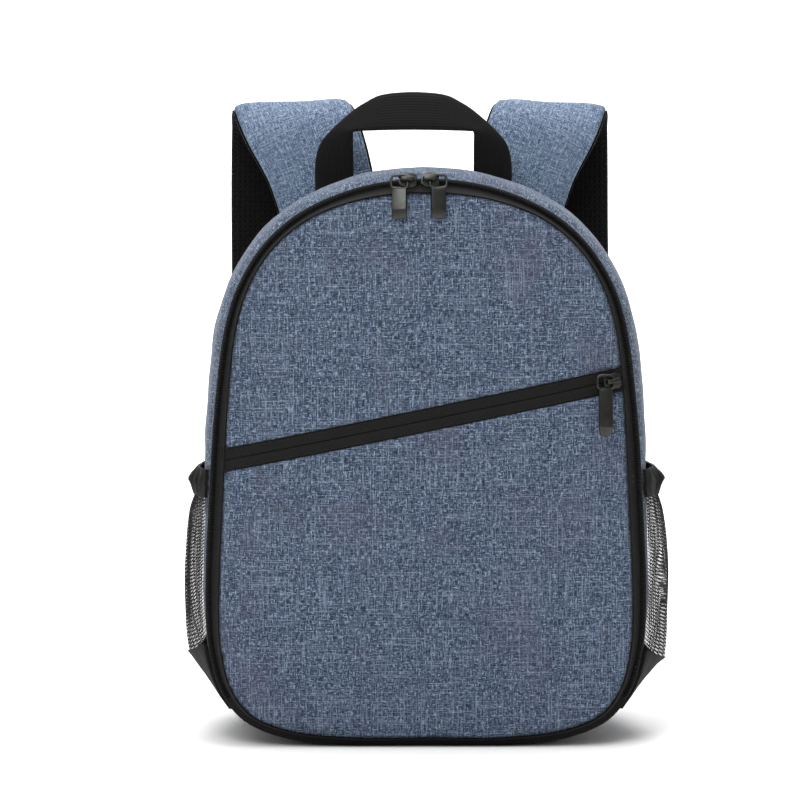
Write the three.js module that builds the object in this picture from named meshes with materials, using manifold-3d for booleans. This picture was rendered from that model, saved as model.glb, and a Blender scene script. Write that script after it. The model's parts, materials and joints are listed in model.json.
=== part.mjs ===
// A small padded camera backpack: a zip-round front flap with a slanted pocket zip, a bulging
// side gusset, two net side pockets, a carry handle, two shoulder straps and padded dividers.
// Millimetres, +Z up. The front faces -Y and +X is the viewer's right. The origin is the
// middle of the flat base that the bag stands on.

import * as THREE from "three";
import { mergeVertices } from "three/addons/utils/BufferGeometryUtils.js";
import Module from "manifold-3d";

const wasm = await Module();
wasm.setup();

// Main body
const BODY_WIDTH = 244; // across the zip line at its widest
const BODY_HEIGHT = 313.5; // the zip line's top above the base
const GUSSET_DEPTH = 104; // zip line to back seam, at the base
const FRONT_LEAN = 8; // how far the zip line's top sits behind its foot
const GUSSET_WALL = 8; // padded wall
const GUSSET_BULGE = 7.5; // how far the padded sides swell past the zip line
const BASE_REACH = 0.112; // share of the outline, each way, that the black base covers
const BACK_PAD = 8; // padded back panel
const BACK_ROUND = 4; // rounding of the back panel's rim
const FIT = 0.3; // clearance between pieces that are sewn together
const OUTLINE_STEPS = 52; // stations round a closed outline

// Front flap
const ZIP_LEDGE = 3.6; // flat ledge that carries the zip teeth
const ZIP_TAPE = 2; // thickness of the black zip band
const POCKET_ZIP_RUN = 224.8; // the pocket zip climbs its rise over this width
const FLAP_RIM = 8.3; // the cloth face's rim, forward of the zip line
const FLAP_CROWN = 12; // how far the face swells past its rim
const FLAP_CLOTH = 2.2; // cloth face
const TEETH_RADIUS = 1.5;
const TEETH_START = 0.125; // share of the outline where the zip's teeth begin, each side
const TEETH_STEPS = 54;

// Slanted front pocket
const POCKET_ZIP_HEIGHT = 181.5; // height of the zip where it crosses the middle
const POCKET_ZIP_RISE = 46; // rise from the left rim to the right
const POCKET_ZIP_WIDTH = 12.4;
const POCKET_ZIP_SINK = 0.9; // the tape lies this far below the cloth
const POCKET_ZIP_STEPS = 16;

// Inside
const DIVIDER = 8; // thickness of a padded divider
const DIVIDER_DEPTH = 93;
const DIVIDER_SPREAD = 40; // the upright dividers stand this far from the middle
const DIVIDER_HEIGHT = 225;
const SIDE_SHELF_HEIGHT = 96;
const MIDDLE_SHELF_LOW = 88;
const MIDDLE_SHELF_HIGH = 164;
const INNER_POCKET_HEIGHT = 148; // net pocket inside the flap
const INNER_POCKET_CLOTH = 1.5;
const INNER_POCKET_INSET = 11;

// Side pockets
const POCKET_FRONT = 1.2; // the front seam lies this far behind the zip line
const POCKET_BACK = 44; // and the back seam this far behind the middle
const POCKET_SWELL = 10.5; // how far the net stands off the gusset
const NET_CLOTH = 1.2;
const HEM_CLOTH = 2;
const POCKET_FLOOR_CLOTH = 1.6;
const POCKET_FOOT = 20; // height where the pocket's floor meets the gusset
const NET_FOOT = 43; // height of the net's foot at its outermost point
const NET_FOOT_LIFT = 9; // the foot seam climbs this much towards the side seams
const HEM_FOOT = 133;
const HEM_HEIGHT = 22;
const POCKET_STEPS = 12;

// Carry handle
const HANDLE_SPAN = 115;
const HANDLE_RISE = 66; // its top above the seam at the legs
const HANDLE_SHIFT = -6.6; // it leans to the viewer's left
const HANDLE_CLOTH = 2.4;
const HANDLE_SWAY = 6; // how far the corners lean to the front
const HANDLE_SEAM_DEPTH = 0.93; // share of the gusset's depth where the legs stand

// Shoulder straps
const STRAP_WIDTH = 66;
const STRAP_PAD = 9;
const STRAP_LINING = 1.6;
const STRAP_SPREAD = 81; // crest of a strap from the middle
const STRAP_CREST = 364;
const STRAP_LOOP = 46; // front to back across the crest
const STRAP_END = 112; // height of the pad's lower end
const STRAP_STEPS = 40;

// Webbing, ladder locks and the lower tabs
const WEB_WIDTH = 25;
const WEB_CLOTH = 1.5;
const LOCK_WIDTH = 33;
const LOCK_HEIGHT = 26;
const LOCK_DEPTH = 3.6;
const LOCK_BAR = 4.4;
const LOCK_SLOT = 6;
const WEB_TAIL = 58;
const TAB_CLOTH = 3;
const TAB_SIDE = 34;

// Zip sliders and pulls
const RIGHT_STRAP_EASE = 0.045;
const TAB_ACROSS = 98; // the lower tab's middle
const TAB_UP = 42;
const LOCK_DROP = 1.5; // the lock hangs this far under the strap's end
const LOCK_CHEEK = 3.2;
const SLIDER_LENGTH = 10;
const SLIDER_WIDTH = 8.4;
const SLIDER_PLATE = 2.4;
const BRIDGE_BAR = 1.3;
const BRIDGE_WIDTH = 2.2;
const PULL_METAL = 2;
const PULL_WIRE = 1.6;
const PULL_RING_WIDTH = 10.6;
const PULL_RING_HEIGHT = 9.4;
const PULL_TAB_WIDTH = 7.8;
const MAIN_TAB_LENGTH = 18.5;
const POCKET_TAB_LENGTH = 24.5;
const PULL_TIP = 3.2;
const MAIN_SLIDER_MIDDLE = -3.7; // where the two main sliders meet
const MAIN_SLIDER_GAP = 1.6;
const MAIN_SLIDER_TILT = 15; // degrees that they lean back on the band
const POCKET_SLIDER_PLACE = 101.5; // the pocket slider, from the middle
const POCKET_SLIDER_STAND = 0.2; // its foot, from the face of the cloth
const POCKET_RING_CLEAR = 1.1; // its bridge stands askew to the ring, which needs more room

// Right half of the zip line, as shares of half the width and of the height.
const OUTLINE = [
  { half: 0, up: 0 },
  { half: 0.36, up: 0 },
  { half: 0.64, up: 0.013 },
  { half: 0.83, up: 0.045 },
  { half: 0.93, up: 0.095 },
  { half: 0.985, up: 0.17 },
  { half: 1, up: 0.27 },
  { half: 0.985, up: 0.42 },
  { half: 0.955, up: 0.6 },
  { half: 0.905, up: 0.745 },
  { half: 0.84, up: 0.82 },
  { half: 0.72, up: 0.891 },
  { half: 0.55, up: 0.945 },
  { half: 0.29, up: 0.986 },
];

// How far the gusset swells, by depth from the zip line and by height.
const SWELL_BY_DEPTH = [
  { deep: 0, swell: 0 },
  { deep: 0.1, swell: 0.62 },
  { deep: 0.38, swell: 1 },
  { deep: 0.75, swell: 0.88 },
  { deep: 0.94, swell: 0.4 },
  { deep: 1, swell: 0.1 },
];
const SWELL_BY_HEIGHT = [
  { up: 0, swell: 0 },
  { up: 0.05, swell: 0.1 },
  { up: 0.2, swell: 0.32 },
  { up: 0.4, swell: 0.5 },
  { up: 0.55, swell: 0.85 },
  { up: 0.7, swell: 1 },
  { up: 1.1, swell: 1 },
];

// Half of the carry handle from a leg's foot to the top: outer and inner edge as shares of
// half the span and of the rise, and the sway to the front.
const HANDLE = [
  { outer: 1, outerUp: 0, inner: 0.61, innerUp: 0.145, sway: 0 },
  { outer: 0.995, outerUp: 0.33, inner: 0.61, innerUp: 0.4, sway: 0.55 },
  { outer: 0.94, outerUp: 0.55, inner: 0.61, innerUp: 0.6, sway: 0.95 },
  { outer: 0.85, outerUp: 0.645, inner: 0.605, innerUp: 0.64, sway: 1 },
  { outer: 0.69, outerUp: 0.777, inner: 0.55, innerUp: 0.647, sway: 0.9 },
  { outer: 0.5, outerUp: 0.9, inner: 0.42, innerUp: 0.652, sway: 0.7 },
  { outer: 0.26, outerUp: 0.985, inner: 0.22, innerUp: 0.657, sway: 0.5 },
  { outer: 0, outerUp: 1, inner: 0, innerUp: 0.66, sway: 0.4 },
];

// A shoulder strap from its sewn end, over the crest and down: place across as a share of
// the spread, back from the panel as a share of the loop, height as a share of the crest,
// width and thickness as shares, and the turn of its face in degrees.
const STRAP = [
  { across: 0.65, back: 0, up: 0.765, wide: 0.8, thick: 0.45, turn: 21 },
  { across: 0.7, back: 0.01, up: 0.82, wide: 0.86, thick: 0.8, turn: 21 },
  { across: 0.79, back: 0.06, up: 0.895, wide: 0.92, thick: 1, turn: 17 },
  { across: 0.91, back: 0.24, up: 0.958, wide: 1, thick: 1, turn: 8 },
  { across: 0.99, back: 0.6, up: 0.985, wide: 1.02, thick: 0.95, turn: 1 },
  { across: 1.01, back: 0.9, up: 0.955, wide: 1, thick: 1, turn: 0 },
  { across: 1.02, back: 1, up: 0.86, wide: 1, thick: 1, turn: 0 },
  { across: 1.02, back: 0.98, up: 0.7, wide: 1, thick: 1, turn: 0 },
  { across: 1.03, back: 0.9, up: 0.54, wide: 0.97, thick: 1, turn: -2 },
  { across: 1.05, back: 0.78, up: 0.4, wide: 0.85, thick: 1, turn: -4 },
];
const STRAP_TAIL = { across: 1.08, back: 0.68, wide: 0.56, thick: 0.75, turn: -5 };

// Height profile of the side pocket: share of the swell from the foot of each piece to its top.
// Width of the black band, by the share of the way round from the middle of the base.
const BAND = [
  { at: 0, wide: 5 },
  { at: 0.1, wide: 5.2 },
  { at: 0.15, wide: 6.8 },
  { at: 0.2, wide: 8 },
  { at: 0.27, wide: 7.8 },
  { at: 0.33, wide: 6.5 },
  { at: 0.38, wide: 5.6 },
  { at: 0.43, wide: 5.6 },
  { at: 0.47, wide: 7.2 },
  { at: 0.5, wide: 8 },
];

const NET_PROFILE = [
  { up: 0, out: 0.97 },
  { up: 0.25, out: 1 },
  { up: 0.55, out: 0.98 },
  { up: 0.85, out: 0.82 },
  { up: 1, out: 0.64 },
];
const HEM_PROFILE = [
  { up: 0, out: 0.6 },
  { up: 0.4, out: 0.72 },
  { up: 0.75, out: 0.54 },
  { up: 1, out: 0.34 },
];
const FLOOR_PROFILE = [
  { up: 0, out: 0.1 },
  { up: 0.3, out: 0.36 },
  { up: 0.62, out: 0.66 },
  { up: 1, out: 0.97 },
];

const BACK_SEAM = GUSSET_DEPTH / 2;
const BACK_FACE = BACK_SEAM + FIT + BACK_PAD;
const BAG_MIDDLE = BODY_HEIGHT * 0.47; // the face swells round this height

const MATERIALS = {
  denim: { color: 0x53677f, roughness: 0.9 },
  black_cloth: { color: 0x17181a, roughness: 0.85 },
  zip_tape: { color: 0x1d1d1c, roughness: 0.7 },
  net: { color: 0x151515, roughness: 0.8 },
  lining: { color: 0x77777d, roughness: 0.95 },
  gunmetal: { color: 0x3c3d3a, roughness: 0.35, metalness: 0.8 },
  plastic: { color: 0x141414, roughness: 0.45 },
};

const bag = new THREE.Group();

function add(name, material, geometry) {
  const mesh = new THREE.Mesh(geometry, new THREE.MeshStandardMaterial(MATERIALS[material]));
  mesh.name = name;
  bag.add(mesh);
}

const mix = (a, b, share) => a + (b - a) * share;

// Reads a table at a key by straight lines between its rows.
function fromTable(rows, key, value, at) {
  if (at <= rows[0][key]) return rows[0][value];
  for (let i = 1; i < rows.length; i++) {
    if (at <= rows[i][key]) {
      const share = (at - rows[i - 1][key]) / (rows[i][key] - rows[i - 1][key]);
      return mix(rows[i - 1][value], rows[i][value], share);
    }
  }
  return rows[rows.length - 1][value];
}

function signedVolume(points, index) {
  const cross = new THREE.Vector3();
  let sum = 0;
  for (let i = 0; i < index.length; i += 3) {
    cross.crossVectors(points[index[i + 1]], points[index[i + 2]]);
    sum += points[index[i]].dot(cross);
  }
  return sum / 6;
}

function closedGeometry(points, index) {
  if (signedVolume(points, index) < 0) {
    for (let i = 0; i < index.length; i += 3) {
      [index[i + 1], index[i + 2]] = [index[i + 2], index[i + 1]];
    }
  }
  const geometry = new THREE.BufferGeometry().setFromPoints(points);
  geometry.setIndex(index);
  return geometry;
}

// Joins equal closed loops into a skin. Unless the path is a ring, the end loops are closed by
// strips from point j to point n-1-j, which suits cloth walls and round outlines alike.
function loft(loops, ring = false) {
  const n = loops[0].length;
  const points = loops.flat();
  const index = [];
  const spans = ring ? loops.length : loops.length - 1;
  for (let k = 0; k < spans; k++) {
    const here = k * n;
    const next = ((k + 1) % loops.length) * n;
    for (let j = 0; j < n; j++) {
      const i = (j + 1) % n;
      index.push(here + j, here + i, next + i, here + j, next + i, next + j);
    }
  }
  if (!ring) {
    const last = (loops.length - 1) * n;
    for (let j = 0; j < n / 2 - 1; j++) {
      const far = n - 1 - j;
      index.push(j, far, far - 1, j, far - 1, j + 1);
      index.push(last + j, last + j + 1, last + far - 1, last + j, last + far - 1, last + far);
    }
  }
  return closedGeometry(points, index);
}

function mirrored(geometry) {
  const copy = geometry.clone().applyMatrix4(new THREE.Matrix4().makeScale(-1, 1, 1));
  const index = Array.from(copy.index.array);
  for (let i = 0; i < index.length; i += 3) {
    [index[i + 1], index[i + 2]] = [index[i + 2], index[i + 1]];
  }
  copy.setIndex(index);
  return copy;
}

function addPair(name, material, geometry) {
  add(name + "_right", material, geometry);
  add(name + "_left", material, mirrored(geometry));
}

function toSolid(geometry) {
  const bare = geometry.clone();
  bare.deleteAttribute("normal");
  bare.deleteAttribute("uv");
  const merged = mergeVertices(bare, 1e-4);
  return new wasm.Manifold(
    new wasm.Mesh({
      numProp: 3,
      vertProperties: merged.attributes.position.array,
      triVerts: new Uint32Array(merged.index.array),
    }),
  );
}

function fromSolid(solid) {
  const mesh = solid.getMesh();
  const geometry = new THREE.BufferGeometry();
  geometry.setAttribute("position", new THREE.BufferAttribute(mesh.vertProperties, mesh.numProp));
  geometry.setIndex(Array.from(mesh.triVerts));
  return geometry;
}

// Outline of the bag seen from the front

const outlineCurve = new THREE.CatmullRomCurve3(
  [
    ...OUTLINE,
    { half: 0, up: 1 },
    ...OUTLINE.slice(1)
      .reverse()
      .map((row) => ({ half: -row.half, up: row.up })),
  ].map((row) => new THREE.Vector3((row.half * BODY_WIDTH) / 2, 0, row.up * BODY_HEIGHT)),
  true,
  "centripetal",
);
outlineCurve.arcLengthDivisions = 1200;

// A place on the zip line, by its share of the way round from the middle of the base.
function station(share) {
  const round = ((share % 1) + 1) % 1;
  const point = outlineCurve.getPointAt(round);
  const tangent = outlineCurve.getTangentAt(round);
  if (point.z <= 0.02) return { x: point.x, z: 0, nx: 0, nz: -1, round };
  return { x: point.x, z: point.z, nx: tangent.z, nz: -tangent.x, round };
}

const stationsRound = Array.from({ length: OUTLINE_STEPS }, (_, i) =>
  station((i + 0.5) / OUTLINE_STEPS),
);

const frontLine = (z) => -BACK_SEAM + (FRONT_LEAN * z) / BODY_HEIGHT;

// A point out from the zip line and forward of it, and one behind the back seam.
const atFront = (s, out, forward) =>
  new THREE.Vector3(s.x + s.nx * out, frontLine(s.z) - forward, s.z + s.nz * out);
const atBack = (s, out, behind) =>
  new THREE.Vector3(s.x + s.nx * out, BACK_SEAM + behind, s.z + s.nz * out);

function swellOf(s, deep) {
  const byHeight = fromTable(SWELL_BY_HEIGHT, "up", "swell", s.z / BODY_HEIGHT);
  return GUSSET_BULGE * byHeight * fromTable(SWELL_BY_DEPTH, "deep", "swell", deep);
}

const bandWidth = (s) => fromTable(BAND, "at", "wide", Math.min(s.round, 1 - s.round));

const seamShare = FIT / 2 / outlineCurve.getLength();
const GUSSET_STEPS = 42;
const BASE_STEPS = 12;
const baseShares = Array.from({ length: BASE_STEPS + 1 }, (_, i) =>
  mix(-BASE_REACH + seamShare, BASE_REACH - seamShare, i / BASE_STEPS),
);
const gussetShares = Array.from({ length: GUSSET_STEPS + 1 }, (_, i) =>
  mix(BASE_REACH + seamShare, 1 - BASE_REACH - seamShare, i / GUSSET_STEPS),
);
const rightStations = [...baseShares, ...gussetShares]
  .filter((share) => share > 0.02 && share < 0.5)
  .map(station);

// Half width of the gusset's outside at a height and a share of its depth.
function gussetHalf(z, deep) {
  let before = null;
  for (const s of rightStations) {
    const out = swellOf(s, deep);
    const here = { x: s.x + s.nx * out, z: s.z + s.nz * out };
    if (before && before.z <= z && here.z > z) {
      return mix(before.x, here.x, (z - before.z) / (here.z - before.z));
    }
    before = here;
  }
  return 0;
}

// Height of the gusset's outside over a place across the bag, at a share of its depth.
function gussetTop(x, deep) {
  let before = null;
  for (const s of rightStations) {
    const out = swellOf(s, deep);
    const here = { x: s.x + s.nx * out, z: s.z + s.nz * out };
    if (before && here.z > BODY_HEIGHT / 2 && before.x >= Math.abs(x) && here.x < Math.abs(x)) {
      return mix(before.z, here.z, (before.x - Math.abs(x)) / (before.x - here.x));
    }
    before = here;
  }
  return BODY_HEIGHT + swellOf(station(0.5), deep);
}

// Padded gusset and base

function gussetLoop(share) {
  const s = station(share);
  const wall = (out) => (row) => {
    const reach = swellOf(s, row.deep) - out;
    return new THREE.Vector3(
      s.x + s.nx * reach,
      mix(frontLine(s.z), BACK_SEAM, row.deep),
      s.z + s.nz * reach,
    );
  };
  return [...SWELL_BY_DEPTH.map(wall(0)), ...SWELL_BY_DEPTH.map(wall(GUSSET_WALL)).reverse()];
}

function addGusset() {
  add("gusset", "denim", loft(gussetShares.map(gussetLoop)));
  add("base_panel", "black_cloth", loft(baseShares.map(gussetLoop)));
}

function addBackPanel() {
  const rim = -1;
  add(
    "back_panel",
    "black_cloth",
    loft([
      stationsRound.map((s) => atBack(s, rim, FIT)),
      stationsRound.map((s) => atBack(s, rim, FIT + BACK_PAD - BACK_ROUND)),
      stationsRound.map((s) => atBack(s, rim - BACK_ROUND * 0.35, FIT + BACK_PAD - BACK_ROUND * 0.3)),
      stationsRound.map((s) => atBack(s, rim - BACK_ROUND * 1.2, FIT + BACK_PAD)),
    ]),
  );
}

// Front flap: padded lid, cloth face in two pieces, zip band and teeth

const PAD_FACE = FLAP_RIM - FLAP_CLOTH - FIT; // the lid's front, forward of the zip line

// The cloth face at a share of the way from its middle to its rim.
function facePoint(s, share, depth) {
  const rim = atFront(s, -bandWidth(s) - FIT, 0);
  const z = mix(BAG_MIDDLE, rim.z, share);
  const crown = FLAP_CROWN * (1 - share ** 3);
  return new THREE.Vector3(rim.x * share, frontLine(z) - FLAP_RIM - crown + depth, z);
}

// How far forward of the zip line the face lies at a place seen from the front.
function faceForward(x, z) {
  const angle = Math.atan2(z - BAG_MIDDLE, x);
  let best = 1;
  let error = Infinity;
  for (let i = 0; i < 360; i++) {
    const rim = facePoint(station(i / 360), 1, 0);
    const turn = Math.atan2(rim.z - BAG_MIDDLE, rim.x) - angle;
    const miss = Math.abs(Math.atan2(Math.sin(turn), Math.cos(turn)));
    if (miss < error) {
      error = miss;
      best = Math.hypot(x, z - BAG_MIDDLE) / Math.hypot(rim.x, rim.z - BAG_MIDDLE);
    }
  }
  return FLAP_RIM + FLAP_CROWN * (1 - Math.min(best, 1) ** 3);
}

const zipHeight = (x) => POCKET_ZIP_HEIGHT + (POCKET_ZIP_RISE * x) / POCKET_ZIP_RUN;
const zipSlope = Math.atan(POCKET_ZIP_RISE / POCKET_ZIP_RUN);

// A large block on one side of the pocket zip, used to part the cloth face.
function beyondZip(side) {
  const block = new THREE.BoxGeometry(3 * BODY_WIDTH, 3 * GUSSET_DEPTH, BODY_HEIGHT);
  const edge = POCKET_ZIP_WIDTH / 2 + FIT / 2;
  block.translate(0, 0, side * (BODY_HEIGHT / 2 - edge));
  block.rotateY(-zipSlope);
  block.translate(0, -GUSSET_DEPTH, POCKET_ZIP_HEIGHT);
  return toSolid(block);
}

function addFlap() {
  const pad = ZIP_LEDGE + 1.1;
  add(
    "flap_pad",
    "lining",
    loft([
      stationsRound.map((s) => atFront(s, -pad, FIT)),
      stationsRound.map((s) => atFront(s, -bandWidth(s) - 3 * FIT, PAD_FACE)),
    ]),
  );

  const shares = [1, 0.9, 0.76, 0.56, 0.3];
  const face = toSolid(
    loft([
      ...[...shares].reverse().map((share) => stationsRound.map((s) => facePoint(s, share, FLAP_CLOTH))),
      ...shares.map((share) => stationsRound.map((s) => facePoint(s, share, 0))),
    ]),
  );
  add("front_upper", "denim", fromSolid(face.subtract(beyondZip(-1))));
  add("front_lower", "denim", fromSolid(face.subtract(beyondZip(1))));

  const band = (s) => {
    const width = bandWidth(s);
    return [
      atFront(s, 0, FIT),
      atFront(s, 0, FIT + ZIP_TAPE),
      atFront(s, -ZIP_LEDGE, FIT + ZIP_TAPE),
      atFront(s, -width, FLAP_RIM),
      atFront(s, -width, FLAP_RIM - ZIP_TAPE),
      atFront(s, -ZIP_LEDGE - 0.3, FIT),
    ];
  };
  add("zip_band", "zip_tape", loft(stationsRound.map(band), true));
  add("zip_teeth", "zip_tape", zipTeeth());
}

const TEETH_FORWARD = FIT + ZIP_TAPE + FIT + TEETH_RADIUS;

function zipTeeth() {
  const loops = [];
  for (let i = 0; i <= TEETH_STEPS; i++) {
    const s = station(mix(TEETH_START, 1 - TEETH_START, i / TEETH_STEPS));
    const loop = [];
    for (let k = 0; k < 6; k++) {
      const turn = ((k + 0.5) * Math.PI) / 3;
      const out = -ZIP_LEDGE / 2 + Math.cos(turn) * TEETH_RADIUS;
      loop.push(atFront(s, out, TEETH_FORWARD + Math.sin(turn) * TEETH_RADIUS));
    }
    loops.push(loop);
  }
  return loft(loops);
}

function addPocketZip() {
  const reach = gussetHalf(POCKET_ZIP_HEIGHT, 0) - ZIP_LEDGE - 2 * PULL_WIRE - FIT - 4;
  const half = POCKET_ZIP_WIDTH / 2 - FIT / 2;
  const loops = [];
  for (let i = 0; i <= POCKET_ZIP_STEPS; i++) {
    const x = mix(-reach, reach, i / POCKET_ZIP_STEPS);
    const corner = (across, depth) => {
      const px = x - Math.sin(zipSlope) * across;
      const pz = zipHeight(x) + Math.cos(zipSlope) * across;
      return new THREE.Vector3(px, frontLine(pz) - faceForward(px, pz) + depth, pz);
    };
    loops.push([
      corner(-half, POCKET_ZIP_SINK),
      corner(half, POCKET_ZIP_SINK),
      corner(half, FLAP_CLOTH),
      corner(-half, FLAP_CLOTH),
    ]);
  }
  add("pocket_zip_tape", "zip_tape", loft(loops));
}

// Inside: dividers and the net pocket on the flap

// A padded divider along Y with a rounded front edge, given its middle line across the bag.
function divider(ends, thickness) {
  const back = BACK_SEAM - FIT;
  const front = back - DIVIDER_DEPTH;
  const [a, b] = ends;
  const across = new THREE.Vector3(b.z - a.z, 0, a.x - b.x).normalize().multiplyScalar(thickness / 2);
  const loopAt = (end) =>
    [
      { y: back, side: 1 },
      { y: front + thickness * 0.35, side: 1 },
      { y: front, side: 0.45 },
      { y: front, side: -0.45 },
      { y: front + thickness * 0.35, side: -1 },
      { y: back, side: -1 },
    ].map((p) => new THREE.Vector3(end.x + across.x * p.side, p.y, end.z + across.z * p.side));
  return loft([loopAt(a), loopAt(b)]);
}

function shelf(from, to, z) {
  return divider([new THREE.Vector3(from, 0, z), new THREE.Vector3(to, 0, z)], DIVIDER);
}

function addInside() {
  const floor = GUSSET_WALL + 1;
  const upright = divider(
    [
      new THREE.Vector3(DIVIDER_SPREAD, 0, floor),
      new THREE.Vector3(DIVIDER_SPREAD, 0, DIVIDER_HEIGHT),
    ],
    DIVIDER,
  );
  addPair("divider", "lining", upright);
  const inner = DIVIDER_SPREAD - DIVIDER / 2 - FIT;
  const outer = DIVIDER_SPREAD + DIVIDER / 2 + FIT;
  const wallAt = (z) => gussetHalf(z, 0) - GUSSET_WALL - FIT - 0.3;
  const top = DIVIDER_HEIGHT - DIVIDER / 2;
  addPair("shelf_top", "lining", shelf(outer, wallAt(top + DIVIDER / 2), top));
  addPair("shelf_side", "lining", shelf(outer, wallAt(SIDE_SHELF_HEIGHT - DIVIDER / 2), SIDE_SHELF_HEIGHT));
  add("shelf_middle_low", "lining", shelf(-inner, inner, MIDDLE_SHELF_LOW));
  add("shelf_middle_high", "lining", shelf(-inner, inner, MIDDLE_SHELF_HIGH));

  const reach = 0.27;
  const steps = 20;
  const half = Array.from({ length: steps }, (_, i) => station(mix(0.006, reach, i / (steps - 1)))).filter(
    (s) => s.z < INNER_POCKET_HEIGHT,
  );
  const top_s = { ...half[half.length - 1] };
  const right = [...half, { ...top_s, z: INNER_POCKET_HEIGHT }];
  const round = [...right, ...right.map((s) => ({ ...s, x: -s.x, nx: -s.nx })).reverse()];
  add(
    "flap_inner_pocket",
    "net",
    loft([
      round.map((s) => atFront(s, -INNER_POCKET_INSET, 0)),
      round.map((s) => atFront(s, -INNER_POCKET_INSET, -INNER_POCKET_CLOTH)),
    ]),
  );
}

// Side pockets: net wall, elastic hem and cloth floor

const pocketPlan = (s) => 0.06 + 0.94 * (1 - s ** 4) ** 0.8;
const netFoot = (s) => NET_FOOT + NET_FOOT_LIFT * s * s;

// A cloth wall that stands off the gusset. Rows give heights from a foot line to a top line.
function pocketWall(rows, footAt, topAt, cloth) {
  const loops = [];
  for (let i = 0; i <= POCKET_STEPS; i++) {
    const s = mix(-1, 1, i / POCKET_STEPS);
    const place = (row, inward) => {
      const z = mix(footAt(s), topAt(s), row.up);
      const y = mix(frontLine(z) + POCKET_FRONT, POCKET_BACK, (s + 1) / 2);
      const deep = (y - frontLine(z)) / (BACK_SEAM - frontLine(z));
      const stand = FIT + cloth + POCKET_SWELL * row.out * pocketPlan(s);
      return new THREE.Vector3(gussetHalf(z, deep) + stand - inward, y, z);
    };
    loops.push([...rows.map((row) => place(row, 0)), ...rows.map((row) => place(row, cloth)).reverse()]);
  }
  return loft(loops);
}

function addSidePockets() {
  const hemFoot = () => HEM_FOOT;
  const hemTop = () => HEM_FOOT + HEM_HEIGHT;
  addPair(
    "side_net",
    "net",
    pocketWall(NET_PROFILE, (s) => netFoot(s) + FIT / 2, () => HEM_FOOT - FIT / 2, NET_CLOTH),
  );
  addPair("side_hem", "black_cloth", pocketWall(HEM_PROFILE, hemFoot, hemTop, HEM_CLOTH));
  addPair(
    "side_floor",
    "black_cloth",
    pocketWall(FLOOR_PROFILE, () => POCKET_FOOT, (s) => netFoot(s) - FIT / 2, POCKET_FLOOR_CLOTH),
  );
}

// Carry handle, sewn into the top of the back seam

function addHandle() {
  const foot = station(0.5 - 0.0655).z + 0.6;
  const loopAt = (row, side) => {
    const lean = BACK_SEAM - HANDLE_CLOTH - HANDLE_SWAY * row.sway;
    const place = (share, up, y) => {
      const x = HANDLE_SHIFT + (side * share * HANDLE_SPAN) / 2;
      const seam = gussetTop(x, HANDLE_SEAM_DEPTH) + FIT;
      return new THREE.Vector3(x, y, Math.max(foot + up * HANDLE_RISE, seam));
    };
    return [
      place(row.outer, row.outerUp, lean),
      place(row.inner, row.innerUp, lean),
      place(row.inner, row.innerUp, lean + HANDLE_CLOTH),
      place(row.outer, row.outerUp, lean + HANDLE_CLOTH),
    ];
  };
  const half = HANDLE.map((row) => loopAt(row, 1));
  const other = HANDLE.slice(0, -1).map((row) => loopAt(row, -1));
  add("carry_handle", "black_cloth", loft([...half, ...other.reverse()]));
}

// Shoulder straps: a padded strap and its black lining

const strapRows = [...STRAP, { ...STRAP_TAIL, up: STRAP_END / STRAP_CREST }];
const strapFoot = BACK_FACE + FIT + STRAP_LINING + FIT + STRAP_PAD / 2;
const strapCurve = new THREE.CatmullRomCurve3(
  strapRows.map(
    (row) =>
      new THREE.Vector3(
        row.across * STRAP_SPREAD,
        strapFoot + row.back * STRAP_LOOP,
        row.up * STRAP_CREST,
      ),
  ),
  false,
  "centripetal",
);

// The strap's frame at a share of its table: middle, width direction and outer side.
function strapFrame(share) {
  const middle = strapCurve.getPoint(share);
  const along = strapCurve.getTangent(share);
  const at = share * (strapRows.length - 1);
  const row = Math.min(Math.floor(at), strapRows.length - 2);
  const read = (key) => mix(strapRows[row][key], strapRows[row + 1][key], at - row);
  const turn = THREE.MathUtils.degToRad(read("turn"));
  const wide = new THREE.Vector3(Math.cos(turn), 0, -Math.sin(turn));
  wide.addScaledVector(along, -wide.dot(along)).normalize();
  const outer = new THREE.Vector3().crossVectors(along, wide).negate();
  return { middle, wide, outer, width: read("wide") * STRAP_WIDTH, pad: read("thick") * STRAP_PAD };
}

// A loop across the strap: its outer side from edge to edge, then its inner side back.
function strapLoop(frame, width, top, bottom, edge) {
  const spots = [-1, -0.82, 0, 0.82, 1];
  const point = (share, side, height) => {
    const squeeze = Math.abs(share) === 1 ? edge : 1;
    const middle = (top + bottom) / 2;
    const level = middle + (height - middle) * squeeze;
    return frame.middle
      .clone()
      .addScaledVector(frame.wide, (share * width) / 2)
      .addScaledVector(frame.outer, level);
  };
  return [
    ...spots.map((share) => point(share, 1, top)),
    ...[...spots].reverse().map((share) => point(share, -1, bottom)),
  ];
}

// The right strap bends in a little more than the left one above its lower end.
function easedIn(geometry) {
  const copy = geometry.clone();
  const place = copy.attributes.position;
  for (let i = 0; i < place.count; i++) {
    const high = THREE.MathUtils.smoothstep(place.getZ(i), STRAP_END + LOCK_DROP, STRAP_CREST * 0.85);
    place.setX(i, place.getX(i) * (1 - RIGHT_STRAP_EASE * high));
  }
  return copy;
}

function addStrapPair(name, material, geometry) {
  add(name + "_right", material, easedIn(geometry));
  add(name + "_left", material, mirrored(geometry));
}

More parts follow.
